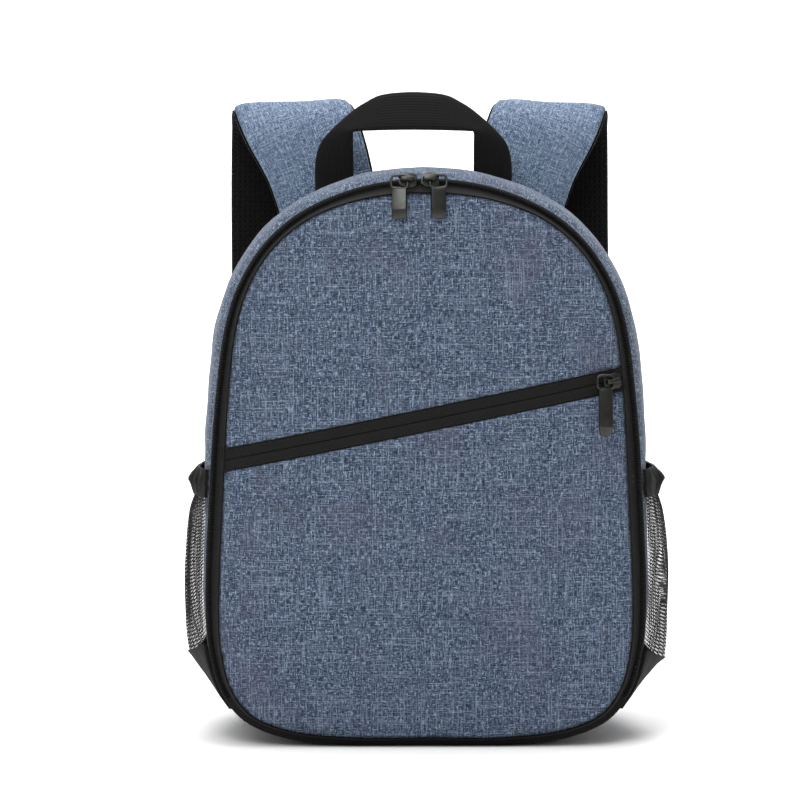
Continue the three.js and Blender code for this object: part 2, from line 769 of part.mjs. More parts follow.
function addStraps() {
  const frames = Array.from({ length: STRAP_STEPS + 1 }, (_, i) => strapFrame(i / STRAP_STEPS));
  addStrapPair(
    "strap_pad",
    "denim",
    loft(frames.map((f) => strapLoop(f, f.width, f.pad / 2, -f.pad / 2, 0.35))),
  );
  addStrapPair(
    "strap_lining",
    "black_cloth",
    loft(
      frames.map((f) => {
        const top = -f.pad / 2 - FIT;
        const spots = [0.92, 0.82, 0, -0.82, -0.92];
        const point = (share, level) =>
          f.middle
            .clone()
            .addScaledVector(f.wide, (share * f.width) / 2)
            .addScaledVector(f.outer, level);
        return [
          ...spots.map((share) => point(share, top)),
          ...[...spots].reverse().map((share) => point(share, top - STRAP_LINING)),
        ];
      }),
    ),
  );
}

// Ladder locks, webbing and the lower tabs

const strapEnd = strapFrame(1);
const lockMiddle = new THREE.Vector3(
  strapEnd.middle.x,
  strapEnd.middle.y,
  STRAP_END - FIT - LOCK_DROP - LOCK_HEIGHT / 2,
);
const TAB_CORNER = { x: TAB_ACROSS, z: TAB_UP };

function boxAt(width, depth, height, x, y, z) {
  return toSolid(new THREE.BoxGeometry(width, depth, height).translate(x, y, z));
}

function addLocks() {
  const top = lockMiddle.z + LOCK_HEIGHT / 2;
  let lock = boxAt(LOCK_WIDTH, LOCK_DEPTH, LOCK_HEIGHT, lockMiddle.x, lockMiddle.y, lockMiddle.z);
  const slotWidth = LOCK_WIDTH - 2 * LOCK_CHEEK;
  const upper = top - LOCK_BAR - LOCK_SLOT / 2;
  const lower = upper - LOCK_SLOT - LOCK_BAR;
  for (const z of [upper, lower]) {
    lock = lock.subtract(
      boxAt(slotWidth, 2 * LOCK_DEPTH, LOCK_SLOT, lockMiddle.x, lockMiddle.y, z),
    );
  }
  addPair("ladder_lock", "plastic", fromSolid(lock));
}

// Webbing from the tab up behind the lock, over its middle bar and down as a free tail.
function addWebbing() {
  const barTop = lockMiddle.z + LOCK_HEIGHT / 2 - LOCK_BAR - LOCK_SLOT;
  const turn = LOCK_DEPTH / 2 + FIT + WEB_CLOTH / 2;
  const { x, y } = lockMiddle;
  const low = BACK_FACE + FIT + TAB_CLOTH + FIT + WEB_CLOTH / 2;
  const unit = WEB_WIDTH / 25; // the bends below are for webbing 25 wide
  const route = [
    new THREE.Vector3(TAB_CORNER.x + 3 * unit, low, TAB_CORNER.z - 8 * unit),
    new THREE.Vector3(TAB_CORNER.x + unit, low, TAB_CORNER.z + 3 * unit),
    new THREE.Vector3(TAB_CORNER.x, low + 0.5 * unit, TAB_CORNER.z + 14 * unit),
    new THREE.Vector3(mix(TAB_CORNER.x, x, 0.5), mix(low, y - turn, 0.5), mix(TAB_CORNER.z, barTop, 0.55)),
    new THREE.Vector3(x + unit, y - turn - 1.2 * unit, barTop - 13 * unit),
    new THREE.Vector3(x, y - turn, barTop - 3 * unit),
  ];
  for (let k = 0; k <= 4; k++) {
    const angle = (k * Math.PI) / 4;
    const rise = FIT + Math.sin(angle) * (WEB_CLOTH / 2 + 0.6 * unit);
    route.push(new THREE.Vector3(x, y - Math.cos(angle) * turn, barTop + rise));
  }
  route.push(
    new THREE.Vector3(x, y + turn, barTop - 4 * unit),
    new THREE.Vector3(x + 0.5 * unit, y + turn + 1.5 * unit, barTop - WEB_TAIL * 0.5),
    new THREE.Vector3(x + 2 * unit, y + turn + unit, barTop - WEB_TAIL),
  );
  const curve = new THREE.CatmullRomCurve3(route, false, "centripetal");
  const loops = [];
  const steps = 3 * (route.length - 1);
  for (let i = 0; i <= steps; i++) {
    const middle = curve.getPoint(i / steps);
    const along = curve.getTangent(i / steps);
    const wide = new THREE.Vector3(1, 0, 0);
    wide.addScaledVector(along, -wide.dot(along)).normalize();
    const face = new THREE.Vector3().crossVectors(along, wide);
    loops.push(
      [
        [-1, 1],
        [1, 1],
        [1, -1],
        [-1, -1],
      ].map(([a, b]) =>
        middle
          .clone()
          .addScaledVector(wide, (a * WEB_WIDTH) / 2)
          .addScaledVector(face, (b * WEB_CLOTH) / 2),
      ),
    );
  }
  addPair("webbing", "black_cloth", loft(loops));
}

function addTabs() {
  const shape = new THREE.Shape();
  shape.moveTo(-TAB_SIDE * 0.5, TAB_SIDE * 0.42);
  shape.lineTo(TAB_SIDE * 0.36, TAB_SIDE * 0.5);
  shape.lineTo(TAB_SIDE * 0.3, -TAB_SIDE * 0.36);
  shape.lineTo(TAB_SIDE * 0.06, -TAB_SIDE * 0.6);
  shape.lineTo(-TAB_SIDE * 0.3, -TAB_SIDE * 0.36);
  const tab = new THREE.ExtrudeGeometry(shape, { depth: TAB_CLOTH, bevelEnabled: false });
  tab.rotateX(Math.PI / 2);
  tab.translate(TAB_CORNER.x, BACK_FACE + FIT + TAB_CLOTH, TAB_CORNER.z);
  addPair("strap_tab", "black_cloth", indexed(tab));
}

function indexed(geometry) {
  geometry.deleteAttribute("normal");
  geometry.deleteAttribute("uv");
  return mergeVertices(geometry, 1e-4);
}

// Zip sliders and pulls. Their own axes are a along the zip, b up and c out of the cloth.

const BRIDGE_CLEAR = PULL_METAL + 2 * FIT;

function sliderSolid() {
  const half = SLIDER_LENGTH / 2;
  const plate = new THREE.Shape();
  plate.moveTo(-half, -SLIDER_WIDTH * 0.3);
  plate.lineTo(-half * 0.4, -SLIDER_WIDTH / 2);
  plate.lineTo(half * 0.6, -SLIDER_WIDTH / 2);
  plate.lineTo(half, -SLIDER_WIDTH * 0.34);
  plate.lineTo(half, SLIDER_WIDTH * 0.34);
  plate.lineTo(half * 0.6, SLIDER_WIDTH / 2);
  plate.lineTo(-half * 0.4, SLIDER_WIDTH / 2);
  plate.lineTo(-half, SLIDER_WIDTH * 0.3);
  const body = toSolid(new THREE.ExtrudeGeometry(plate, { depth: SLIDER_PLATE, bevelEnabled: false }));

  const reach = half * 0.8;
  const rise = SLIDER_PLATE + BRIDGE_CLEAR;
  const arch = new THREE.Shape();
  arch.moveTo(-reach, SLIDER_PLATE / 2);
  arch.lineTo(-reach, rise);
  arch.quadraticCurveTo(-reach, rise + BRIDGE_BAR, -reach + 1.6, rise + BRIDGE_BAR);
  arch.lineTo(reach - 1.6, rise + BRIDGE_BAR);
  arch.quadraticCurveTo(reach, rise + BRIDGE_BAR, reach, rise);
  arch.lineTo(reach, SLIDER_PLATE / 2);
  arch.lineTo(reach - BRIDGE_BAR, SLIDER_PLATE / 2);
  arch.lineTo(reach - BRIDGE_BAR, rise);
  arch.lineTo(-reach + BRIDGE_BAR, rise);
  arch.lineTo(-reach + BRIDGE_BAR, SLIDER_PLATE / 2);
  const bridge = new THREE.ExtrudeGeometry(arch, {
    depth: BRIDGE_WIDTH,
    bevelEnabled: false,
    curveSegments: 2,
  });
  bridge.translate(0, 0, -BRIDGE_WIDTH / 2);
  bridge.rotateX(Math.PI / 2);
  return fromSolid(body.add(toSolid(bridge)));
}

// A pull whose ring passes under the bridge by its side bar. Side is -1 where the pull lies to
// the left of its slider, and clear is the room between the ring's top bar and the bridge.
function pullSolid(side, length, clear) {
  const ring = PULL_RING_WIDTH / 2;
  const middle = side * (ring - PULL_WIRE / 2);
  const top = BRIDGE_WIDTH / 2 + clear + PULL_WIRE;
  const foot = top - PULL_RING_HEIGHT;
  const tab = PULL_TAB_WIDTH / 2;
  const end = foot - length;
  const shape = new THREE.Shape();
  shape.moveTo(middle, end);
  shape.lineTo(middle + tab, end + PULL_TIP);
  shape.lineTo(middle + tab, foot);
  shape.lineTo(middle + ring, foot + 2.4);
  shape.lineTo(middle + ring, top - 2.4);
  shape.quadraticCurveTo(middle + ring, top, middle + ring - 2.4, top);
  shape.lineTo(middle - ring + 2.4, top);
  shape.quadraticCurveTo(middle - ring, top, middle - ring, top - 2.4);
  shape.lineTo(middle - ring, foot + 2.4);
  shape.lineTo(middle - tab, foot);
  shape.lineTo(middle - tab, end + PULL_TIP);
  const hole = new THREE.Path();
  const inner = ring - PULL_WIRE;
  hole.moveTo(middle - inner, foot + 2.6);
  hole.lineTo(middle - inner, top - PULL_WIRE);
  hole.lineTo(middle + inner, top - PULL_WIRE);
  hole.lineTo(middle + inner, foot + 2.6);
  hole.lineTo(middle + inner - 1.6, foot + 1.2);
  hole.lineTo(middle - inner + 1.6, foot + 1.2);
  shape.holes.push(hole);
  const pull = new THREE.ExtrudeGeometry(shape, {
    depth: PULL_METAL,
    bevelEnabled: false,
    curveSegments: 3,
  });
  pull.translate(0, 0, SLIDER_PLATE + FIT);
  return indexed(pull);
}

// Axes at a place: c points out of the cloth and b climbs as near to up as it allows.
function axesAt(place, out, up) {
  const c = out.clone().normalize();
  const a = new THREE.Vector3().crossVectors(up, c).normalize();
  const b = new THREE.Vector3().crossVectors(c, a);
  return new THREE.Matrix4().makeBasis(a, b, c).setPosition(place);
}

function addMainSliders() {
  const tilt = THREE.MathUtils.degToRad(MAIN_SLIDER_TILT);
  const out = new THREE.Vector3(0, -Math.cos(tilt), Math.sin(tilt));
  const up = new THREE.Vector3(0, 0, 1);
  for (const side of [-1, 1]) {
    const x = MAIN_SLIDER_MIDDLE + (side * (SLIDER_LENGTH + MAIN_SLIDER_GAP)) / 2;
    const s = station(0.5 - (x / BODY_WIDTH) * 0.272);
    const forward = TEETH_FORWARD + TEETH_RADIUS + FIT;
    const axes = axesAt(atFront(s, -ZIP_LEDGE / 2 + 0.6, forward), out, up);
    const word = side < 0 ? "left" : "right";
    add("main_slider_" + word, "gunmetal", sliderSolid().applyMatrix4(axes));
    add("main_pull_" + word, "gunmetal", pullSolid(side, MAIN_TAB_LENGTH, FIT).applyMatrix4(axes));
  }
}

function addPocketSlider() {
  const x = POCKET_SLIDER_PLACE;
  const z = zipHeight(x);
  const step = 4;
  const surface = (px, pz) => new THREE.Vector3(px, frontLine(pz) - faceForward(px, pz), pz);
  const left = surface(x - 2.5 * step, z);
  const right = surface(x, z);
  const low = surface(x - step, z - 5 * step);
  const across = right.clone().sub(left);
  const up = right.clone().sub(low);
  const out = new THREE.Vector3().crossVectors(across, new THREE.Vector3(0, 0, 1)).normalize();
  const lean = up.setX(0).normalize();
  const normal = out.addScaledVector(lean, -out.dot(lean)).normalize();
  const place = surface(x, z).addScaledVector(normal, POCKET_SLIDER_STAND);
  const zipWay = new THREE.Vector3(-Math.sin(zipSlope), 0, Math.cos(zipSlope));
  add("pocket_slider", "gunmetal", sliderSolid().applyMatrix4(axesAt(place, normal, zipWay)));
  const pull = pullSolid(-1, POCKET_TAB_LENGTH, POCKET_RING_CLEAR);
  add("pocket_pull", "gunmetal", pull.applyMatrix4(axesAt(place, normal, lean)));
}

addGusset();
addBackPanel();
addFlap();
addPocketZip();
addInside();
addSidePockets();
addHandle();
addStraps();
addLocks();
addWebbing();
addTabs();
addMainSliders();
addPocketSlider();

export default bag;
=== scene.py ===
"""Dress a small padded camera backpack: heather cloth, zips, webbing, net pockets and pulls.

Sizes are in millimetres in the CAD model's frame and turned to metres where a mesh is made.
The front faces -Y, +X is the viewer's right and the bag stands on z = 0.
"""

from __future__ import annotations

import json
import logging
import math
from dataclasses import dataclass
from enum import Enum
from typing import Any, Callable, Sequence

import bmesh
import bpy
import numpy as np
from mathutils import Matrix, Vector

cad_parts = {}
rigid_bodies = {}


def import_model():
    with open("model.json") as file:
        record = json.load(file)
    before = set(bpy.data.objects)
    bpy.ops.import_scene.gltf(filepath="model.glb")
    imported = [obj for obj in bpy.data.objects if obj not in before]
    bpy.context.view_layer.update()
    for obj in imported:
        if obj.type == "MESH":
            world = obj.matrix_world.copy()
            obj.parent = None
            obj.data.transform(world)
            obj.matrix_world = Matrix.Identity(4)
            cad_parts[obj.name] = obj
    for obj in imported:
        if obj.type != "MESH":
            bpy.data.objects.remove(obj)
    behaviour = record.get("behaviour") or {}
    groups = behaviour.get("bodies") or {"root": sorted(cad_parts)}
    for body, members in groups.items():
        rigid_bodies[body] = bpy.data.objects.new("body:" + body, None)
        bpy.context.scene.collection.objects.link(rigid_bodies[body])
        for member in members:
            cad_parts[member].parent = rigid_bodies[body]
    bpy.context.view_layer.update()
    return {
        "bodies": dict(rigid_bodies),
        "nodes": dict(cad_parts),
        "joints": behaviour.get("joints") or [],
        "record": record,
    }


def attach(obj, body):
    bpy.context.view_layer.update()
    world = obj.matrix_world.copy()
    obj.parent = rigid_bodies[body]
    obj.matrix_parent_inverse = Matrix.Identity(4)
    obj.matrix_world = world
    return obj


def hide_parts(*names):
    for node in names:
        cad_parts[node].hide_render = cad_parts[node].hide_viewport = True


log = logging.getLogger("backpack")

MM = 0.001  # metres in a millimetre
UV_PER_MM = 0.1  # the "cloth" UV map counts centimetres
Array = np.ndarray
Ripple = Callable[[Array, Array], Array]


class Side(Enum):
    """The two sides of the bag as the viewer sees them from the front."""

    LEFT = -1
    RIGHT = 1

    @property
    def word(self) -> str:
        """Give the side's word as the CAD nodes use it."""
        return self.name.lower()


# Tools shared by the pieces


def linear(hex_colour: str) -> tuple[float, float, float, float]:
    """Turn an sRGB hex colour to linear light.

    Args:
        hex_colour: A colour such as "#4c5767".

    Returns:
        Red, green, blue and an alpha of 1.
    """
    values = [int(hex_colour[i : i + 2], 16) / 255 for i in (1, 3, 5)]
    light = [v / 12.92 if v <= 0.04045 else ((v + 0.055) / 1.055) ** 2.4 for v in values]
    return (light[0], light[1], light[2], 1.0)


def add_node(
    tree: bpy.types.NodeTree, kind: str, inputs: dict[Any, Any] | None = None, **settings: Any
) -> bpy.types.Node:
    """Add a node with its settings, values and links.

    Args:
        tree: The tree that takes the node.
        kind: The node's type name.
        inputs: Input name or number to a value, or to the socket that feeds it.
        **settings: Properties of the node.

    Returns:
        The new node.
    """
    node = tree.nodes.new(kind)
    for name, value in settings.items():
        setattr(node, name, value)
    for key, value in (inputs or {}).items():
        if isinstance(value, bpy.types.NodeSocket):
            tree.links.new(value, node.inputs[key])
        else:
            node.inputs[key].default_value = value
    return node


def fill_ramp(node: bpy.types.Node, stops: Sequence[tuple[float, Any]]) -> None:
    """Set a colour ramp's stops.

    Args:
        node: A colour ramp node.
        stops: Place and colour of each stop; a plain number is a grey.
    """
    ramp = node.color_ramp
    while len(ramp.elements) > 1:
        ramp.elements.remove(ramp.elements[-1])
    for i, (place, colour) in enumerate(stops):
        element = ramp.elements[0] if i == 0 else ramp.elements.new(place)
        element.position = place
        element.color = colour if isinstance(colour, tuple) else (colour, colour, colour, 1.0)


def centripetal(knots: Array, closed: bool, per: int) -> Array:
    """Draw a centripetal Catmull-Rom curve through knots.

    Args:
        knots: The points, one row each.
        closed: Whether the curve returns to its start.
        per: Samples for each span.

    Returns:
        The samples, with the last knot of an open curve.
    """
    n = len(knots)
    spans = n if closed else n - 1
    share = np.linspace(0, 1, per, endpoint=False)[:, None]
    out: list[Array] = []
    for k in range(spans):
        p1 = knots[k]
        p2 = knots[(k + 1) % n]
        p0 = knots[(k - 1) % n] if closed or k > 0 else 2 * p1 - p2
        p3 = knots[(k + 2) % n] if closed or k + 2 < n else 2 * p2 - p1
        t0, t1, t2 = (
            max(float(np.linalg.norm(b - a)) ** 0.5, 1e-4)
            for a, b in ((p0, p1), (p1, p2), (p2, p3))
        )
        m1 = ((p1 - p0) / t0 - (p2 - p0) / (t0 + t1) + (p2 - p1) / t1) * t1
        m2 = ((p2 - p1) / t1 - (p3 - p1) / (t1 + t2) + (p3 - p2) / t2) * t1
        c2 = -3 * p1 + 3 * p2 - 2 * m1 - m2
        c3 = 2 * p1 - 2 * p2 + m1 + m2
        out.append(p1 + m1 * share + c2 * share**2 + c3 * share**3)
    if not closed:
        out.append(knots[-1:])
    return np.concatenate(out)


def smooth_noise(x: Array, y: Array, seed: int) -> Array:
    """Give a smooth wandering value between about -1 and 1 at each place.

    Args:
        x: First coordinate, in units of the wander's length.
        y: Second coordinate, in the same units.
        seed: Which wander.

    Returns:
        The values, in the shape of x.
    """
    rng = np.random.default_rng(seed)
    total = np.zeros(np.broadcast(x, y).shape)
    for _ in range(7):
        angle, phase = rng.uniform(0, 2 * math.pi, 2)
        rate = rng.uniform(0.55, 1.7)
        total += np.sin(2 * math.pi * rate * (x * math.cos(angle) + y * math.sin(angle)) + phase)
    return total / 4.2


def lofted(
    name: str, points: Array, uv: Array, *, ring: bool = False, tube: bool = True, caps: bool = True
) -> bpy.types.Object:
    """Make a smooth mesh from rows of points.

    Args:
        name: The piece's name.
        points: Places in millimetres, shaped (rows, columns, 3).
        uv: Cloth coordinates in millimetres, one row and column more where the mesh wraps.
        ring: Whether the last row joins the first.
        tube: Whether the last column joins the first.
        caps: Whether the first and last rows of a tube are closed.

    Returns:
        The new object, at the origin, with its faces pointing outwards.
    """
    rows, cols = points.shape[:2]
    verts = points.reshape(-1, 3) * MM
    faces: list[tuple[int, ...]] = []
    corners: list[tuple[float, float]] = []
    for r in range(rows if ring else rows - 1):
        below, above = r * cols, ((r + 1) % rows) * cols
        for c in range(cols if tube else cols - 1):
            d = (c + 1) % cols
            faces.append((below + c, below + d, above + d, above + c))
            corners += [
                tuple(uv[r, c]),
                tuple(uv[r, c + 1]),
                tuple(uv[r + 1, c + 1]),
                tuple(uv[r + 1, c]),
            ]
    if tube and caps and not ring:
        for r in (0, rows - 1):
            faces.append(tuple(r * cols + c for c in range(cols)))
            corners += [tuple(uv[r, c]) for c in range(cols)]
    mesh = bpy.data.meshes.new(name)
    mesh.from_pydata(verts.tolist(), [], faces)
    layer = mesh.uv_layers.new(name="cloth")
    layer.data.foreach_set("uv", (np.array(corners, dtype=np.float32) * UV_PER_MM).ravel())
    obj = bpy.data.objects.new(name, mesh)
    bpy.context.scene.collection.objects.link(obj)
    turn_outwards(mesh)
    return obj


def plain_uv(rows: int, cols: int, height: float, width: float) -> Array:
    """Give cloth coordinates that run evenly over a sheet.

    Args:
        rows: Rows of corners.
        cols: Columns of corners.
        height: Millimetres over the rows.
        width: Millimetres over the columns.

    Returns:
        Coordinates shaped (rows, cols, 2).
    """
    return cloth_grid(np.linspace(0, height, rows), np.linspace(0, width, cols))[..., ::-1]


def cloth_grid(rows: Array, cols: Array) -> Array:
    """Give cloth coordinates over a grid of points.

    Args:
        rows: Millimetres along the cloth at each row.
        cols: Millimetres across the cloth at each column.

    Returns:
        Coordinates shaped (rows, cols, 2).
    """
    return np.stack(np.meshgrid(rows, cols, indexing="ij"), axis=-1)


def seen_from(obj: bpy.types.Object, axes: tuple[int, int]) -> None:
    """Give a piece cloth coordinates by looking at it along one axis.

    Args:
        obj: The piece.
        axes: The two axes that are seen, such as 0 and 2 from the front.
    """
    mesh = obj.data
    layer = mesh.uv_layers.get("cloth") or mesh.uv_layers.new(name="cloth")
    places = np.zeros(len(mesh.vertices) * 3, dtype=np.float32)
    mesh.vertices.foreach_get("co", places)
    places = places.reshape(-1, 3) / MM * UV_PER_MM
    corner = np.zeros(len(mesh.loops), dtype=np.int32)
    mesh.loops.foreach_get("vertex_index", corner)
    layer.data.foreach_set("uv", places[corner][:, list(axes)].ravel())


def turn_outwards(mesh: bpy.types.Mesh, merge: bool = False) -> None:
    """Point every face of a closed mesh outwards.

    Args:
        mesh: The mesh.
        merge: Whether loose triangles are first joined, and flat ones made one face.
    """
    work = bmesh.new()
    work.from_mesh(mesh)
    if merge:
        bmesh.ops.remove_doubles(work, verts=work.verts, dist=1e-5)
        bmesh.ops.dissolve_limit(
            work, angle_limit=math.radians(4), verts=work.verts, edges=work.edges
        )
    bmesh.ops.recalc_face_normals(work, faces=work.faces)
    work.to_mesh(mesh)
    work.free()


def baked(obj: bpy.types.Object) -> bpy.types.Object:
    """Turn an object's modifiers into plain mesh.

    Args:
        obj: The object.

    Returns:
        The same object, without modifiers.
    """
    bpy.context.view_layer.update()
    graph = bpy.context.evaluated_depsgraph_get()
    mesh = bpy.data.meshes.new_from_object(obj.evaluated_get(graph))
    obj.modifiers.clear()
    obj.data = mesh
    return obj


def with_modifier(obj: bpy.types.Object, kind: str, **settings: Any) -> bpy.types.Object:
    """Add one modifier to an object and bake it.

    Args:
        obj: The object.
        kind: The modifier's type.
        **settings: Its properties.

    Returns:
        The same object.
    """
    modifier = obj.modifiers.new(kind.title(), kind)
    for name, value in settings.items():
        setattr(modifier, name, value)
    return baked(obj)


def grown(
    obj: bpy.types.Object, group: bpy.types.NodeTree, values: dict[str, Any]
) -> bpy.types.Object:
    """Run a Geometry Nodes tree on an object and keep its result.

    Args:
        obj: The object that the tree starts from.
        group: The tree.
        values: Input name to value.

    Returns:
        The same object, with the tree's result as its mesh.
    """
    modifier = obj.modifiers.new("Grow", "NODES")
    modifier.node_group = group
    for item in group.interface.items_tree:
        if item.item_type == "SOCKET" and item.in_out == "INPUT" and item.name in values:
            modifier[item.identifier] = values[item.name]
    return baked(obj)


def finish_piece(
    obj: bpy.types.Object,
    material: bpy.types.Material,
    body: str = "bag",
    nodes: Sequence[str] = (),
    sharp: float = 50.0,
) -> bpy.types.Object:
    """Give a piece its material, its body and the CAD nodes that it stands for.

    Args:
        obj: The piece.
        material: What it is made of.
        body: The body that it rides on.
        nodes: The CAD nodes that it replaces.
        sharp: Edges that turn by more degrees than this stay crisp.

    Returns:
        The same piece.
    """
    mesh = obj.data
    places = np.zeros(len(mesh.vertices) * 3, dtype=np.float32)
    mesh.vertices.foreach_get("co", places)
    places[2::3] = np.maximum(places[2::3], 0)  # nothing goes through the floor
    mesh.vertices.foreach_set("co", places)
    mesh.materials.clear()
    mesh.materials.append(material)
    mesh.polygons.foreach_set("material_index", [0] * len(mesh.polygons))
    mesh.polygons.foreach_set("use_smooth", [True] * len(mesh.polygons))
    mesh.set_sharp_from_angle(angle=math.radians(sharp))
    mesh.update()
    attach(obj, body)
    if nodes:
        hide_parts(*nodes)
    log.info("%s: %d faces", obj.name, len(mesh.polygons))
    return obj


# Finishes


class Finish:
    """A finish: each kind links its patterns to one shader."""

    name: str

    def material(self) -> bpy.types.Material:
        """Build the material from the values and patterns that the finish gives."""
        material = bpy.data.materials.new(self.name)
        material.use_nodes = True
        tree = material.node_tree
        shader = tree.nodes["Principled BSDF"]
        for label, value in self.dress(tree).items():
            if isinstance(value, bpy.types.NodeSocket):
                tree.links.new(value, shader.inputs[label])
            else:
                shader.inputs[label].default_value = value
        return material

    def dress(self, tree: bpy.types.NodeTree) -> dict[str, Any]:
        """Give the shader's inputs, as plain values or as the sockets that feed them.

        Args:
            tree: The material's tree, which takes the pattern's nodes.

        Returns:
            Input name to value or socket.
        """
        raise NotImplementedError


@dataclass(frozen=True)
class HeatherCloth(Finish):
    """Heather polyester canvas, woven from light and dark yarns with thicker slubs.

    The yarns are about 0.45 mm apart, too fine to show, so each streak is drawn near 1 mm wide.
    """

    name: str = "heather_canvas_woven_polyester"
    dark: str = "#17202c"
    middle: str = "#303d4f"
    light: str = "#53627a"
    yarn: str = "#8a98ab"
    tint: str = "#443f50"  # washes over the cloth in wide, faint patches
    patch: tuple[float, float] = (38.0, 52.0)  # size of such a patch
    streak: float = 3.0  # length of a streak
    thread: float = 0.7  # width of a streak
    slub: float = 34.0  # length of a thick yarn

    def dress(self, tree: bpy.types.NodeTree) -> dict[str, Any]:
        """Weave weft and warp streaks, then lay the tint and the slubs over them."""
        place = add_node(tree, "ShaderNodeUVMap", uv_map="cloth").outputs[0]
        colours: dict[str, Any] = {"data_type": "RGBA"}
        fields: dict[str, Any] = {}
        # width, height, detail and shift of each pattern
        for label, width, height, detail, shift in (
            ("weft", self.streak, self.thread, 2.0, 0.0),
            ("warp", self.thread, self.streak * 1.3, 2.0, 5.0),
            ("pick", 1.6, 1.6, 0.0, 9.0),
            ("patch", *self.patch, 2.0, 3.0),
            ("slub_weft", self.slub, self.thread * 0.8, 1.0, 2.0),
            ("slub_warp", self.thread * 0.8, self.slub, 1.0, 7.0),
        ):
            spread = {
                "Vector": place,
                "Location": (shift, shift * 1.7, 0),
                "Scale": (10 / width, 10 / height, 1),
            }
            values = {
                "Vector": add_node(tree, "ShaderNodeMapping", spread).outputs[0],
                "Scale": 1.0,
                "Detail": detail,
                "Roughness": 0.6,
            }
            fields[label] = add_node(
                tree, "ShaderNodeTexNoise", values, noise_dimensions="2D"
            ).outputs[0]
        shades: dict[str, Any] = {}
        for label, stops in (
            ("pick", [(0.4, 0.0), (0.6, 1.0)]),
            ("patch", [(0.45, 0.0), (0.75, 0.5)]),
            ("slub_weft", [(0.6, 0.0), (0.74, 0.42)]),
            ("slub_warp", [(0.6, 0.0), (0.74, 0.42)]),
        ):
            ramp = add_node(tree, "ShaderNodeValToRGB", {0: fields[label]})
            fill_ramp(ramp, stops)
            shades[label] = ramp.outputs[0]
        woven = {0: shades["pick"], 6: fields["weft"], 7: fields["warp"]}
        yarns = add_node(tree, "ShaderNodeMix", woven, **colours).outputs[2]
        heather = add_node(tree, "ShaderNodeValToRGB", {0: yarns})
        fill_ramp(
            heather,
            [
                (0.34, linear(self.dark)),
                (0.48, linear(self.middle)),
                (0.58, linear(self.light)),
                (0.72, linear(self.yarn)),
            ],
        )
        tinted = {0: fields["patch"], 6: heather.outputs[0], 7: linear(self.tint)}
        tint = add_node(tree, "ShaderNodeMix", tinted, **colours).outputs[2]
        washed = {0: shades["patch"], 6: heather.outputs[0], 7: tint}
        wash = add_node(tree, "ShaderNodeMix", washed, **colours).outputs[2]
        crossed = {0: 1.0, 6: shades["slub_weft"], 7: shades["slub_warp"]}
        slubs = add_node(
            tree, "ShaderNodeMix", crossed, blend_type="LIGHTEN", **colours
        ).outputs[2]
        laid = {0: slubs, 6: wash, 7: linear(self.yarn)}
        raised = add_node(tree, "ShaderNodeMix", {0: 0.4, 6: yarns, 7: slubs}, **colours)
        bump = {"Height": raised.outputs[2], "Strength": 0.7, "Distance": 0.0005}
        return {
            "Base Color": add_node(tree, "ShaderNodeMix", laid, **colours).outputs[2],
            "Roughness": 0.88,
            "Specular IOR Level": 0.25,
            "Sheen Weight": 0.12,
            "Sheen Roughness": 0.5,
            "Normal": add_node(tree, "ShaderNodeBump", bump).outputs[0],
        }


@dataclass(frozen=True)
class RibbedCloth(Finish):
    """Black woven nylon or polyester whose ribs run one way, dull with a faint sheen."""

    name: str
    colour: str
    lighter: str
    rib: float  # spacing of the ribs
    across: bool = True  # whether the ribs lie across the cloth's u
    roughness: float = 0.75
    depth: float = 0.00025

    def dress(self, tree: bpy.types.NodeTree) -> dict[str, Any]:
        """Rib the cloth, with a fine grain and a wide unevenness."""
        place = add_node(tree, "ShaderNodeUVMap", uv_map="cloth").outputs[0]
        ribs = {
            "Vector": place,
            "Scale": 10 / self.rib / 6.2832 * 2,
            "Distortion": 0.6,
            "Detail": 1.0,
        }
        axis = "X" if self.across else "Y"
        wave = add_node(tree, "ShaderNodeTexWave", ribs, bands_direction=axis).outputs[0]
        fine, wide = (
            add_node(
                tree, "ShaderNodeTexNoise", {"Vector": place, "Scale": scale, "Detail": detail}
            ).outputs[0]
            for scale, detail in ((9.0, 3.0), (0.6, 2.0))
        )
        grain = add_node(
            tree, "ShaderNodeMix", {0: 0.45, 6: wave, 7: fine}, data_type="RGBA"
        ).outputs[2]
        shade = add_node(tree, "ShaderNodeMix", {0: 0.35, 6: grain, 7: wide}, data_type="RGBA")
        ramp = add_node(tree, "ShaderNodeValToRGB", {0: shade.outputs[2]})
        fill_ramp(ramp, [(0.2, linear(self.colour)), (0.8, linear(self.lighter))])
        bump = {"Height": grain, "Strength": 0.6, "Distance": self.depth}
        return {
            "Base Color": ramp.outputs[0],
            "Roughness": self.roughness,
            "Specular IOR Level": 0.14,
            "Sheen Weight": 0.02,
            "Normal": add_node(tree, "ShaderNodeBump", bump).outputs[0],
        }


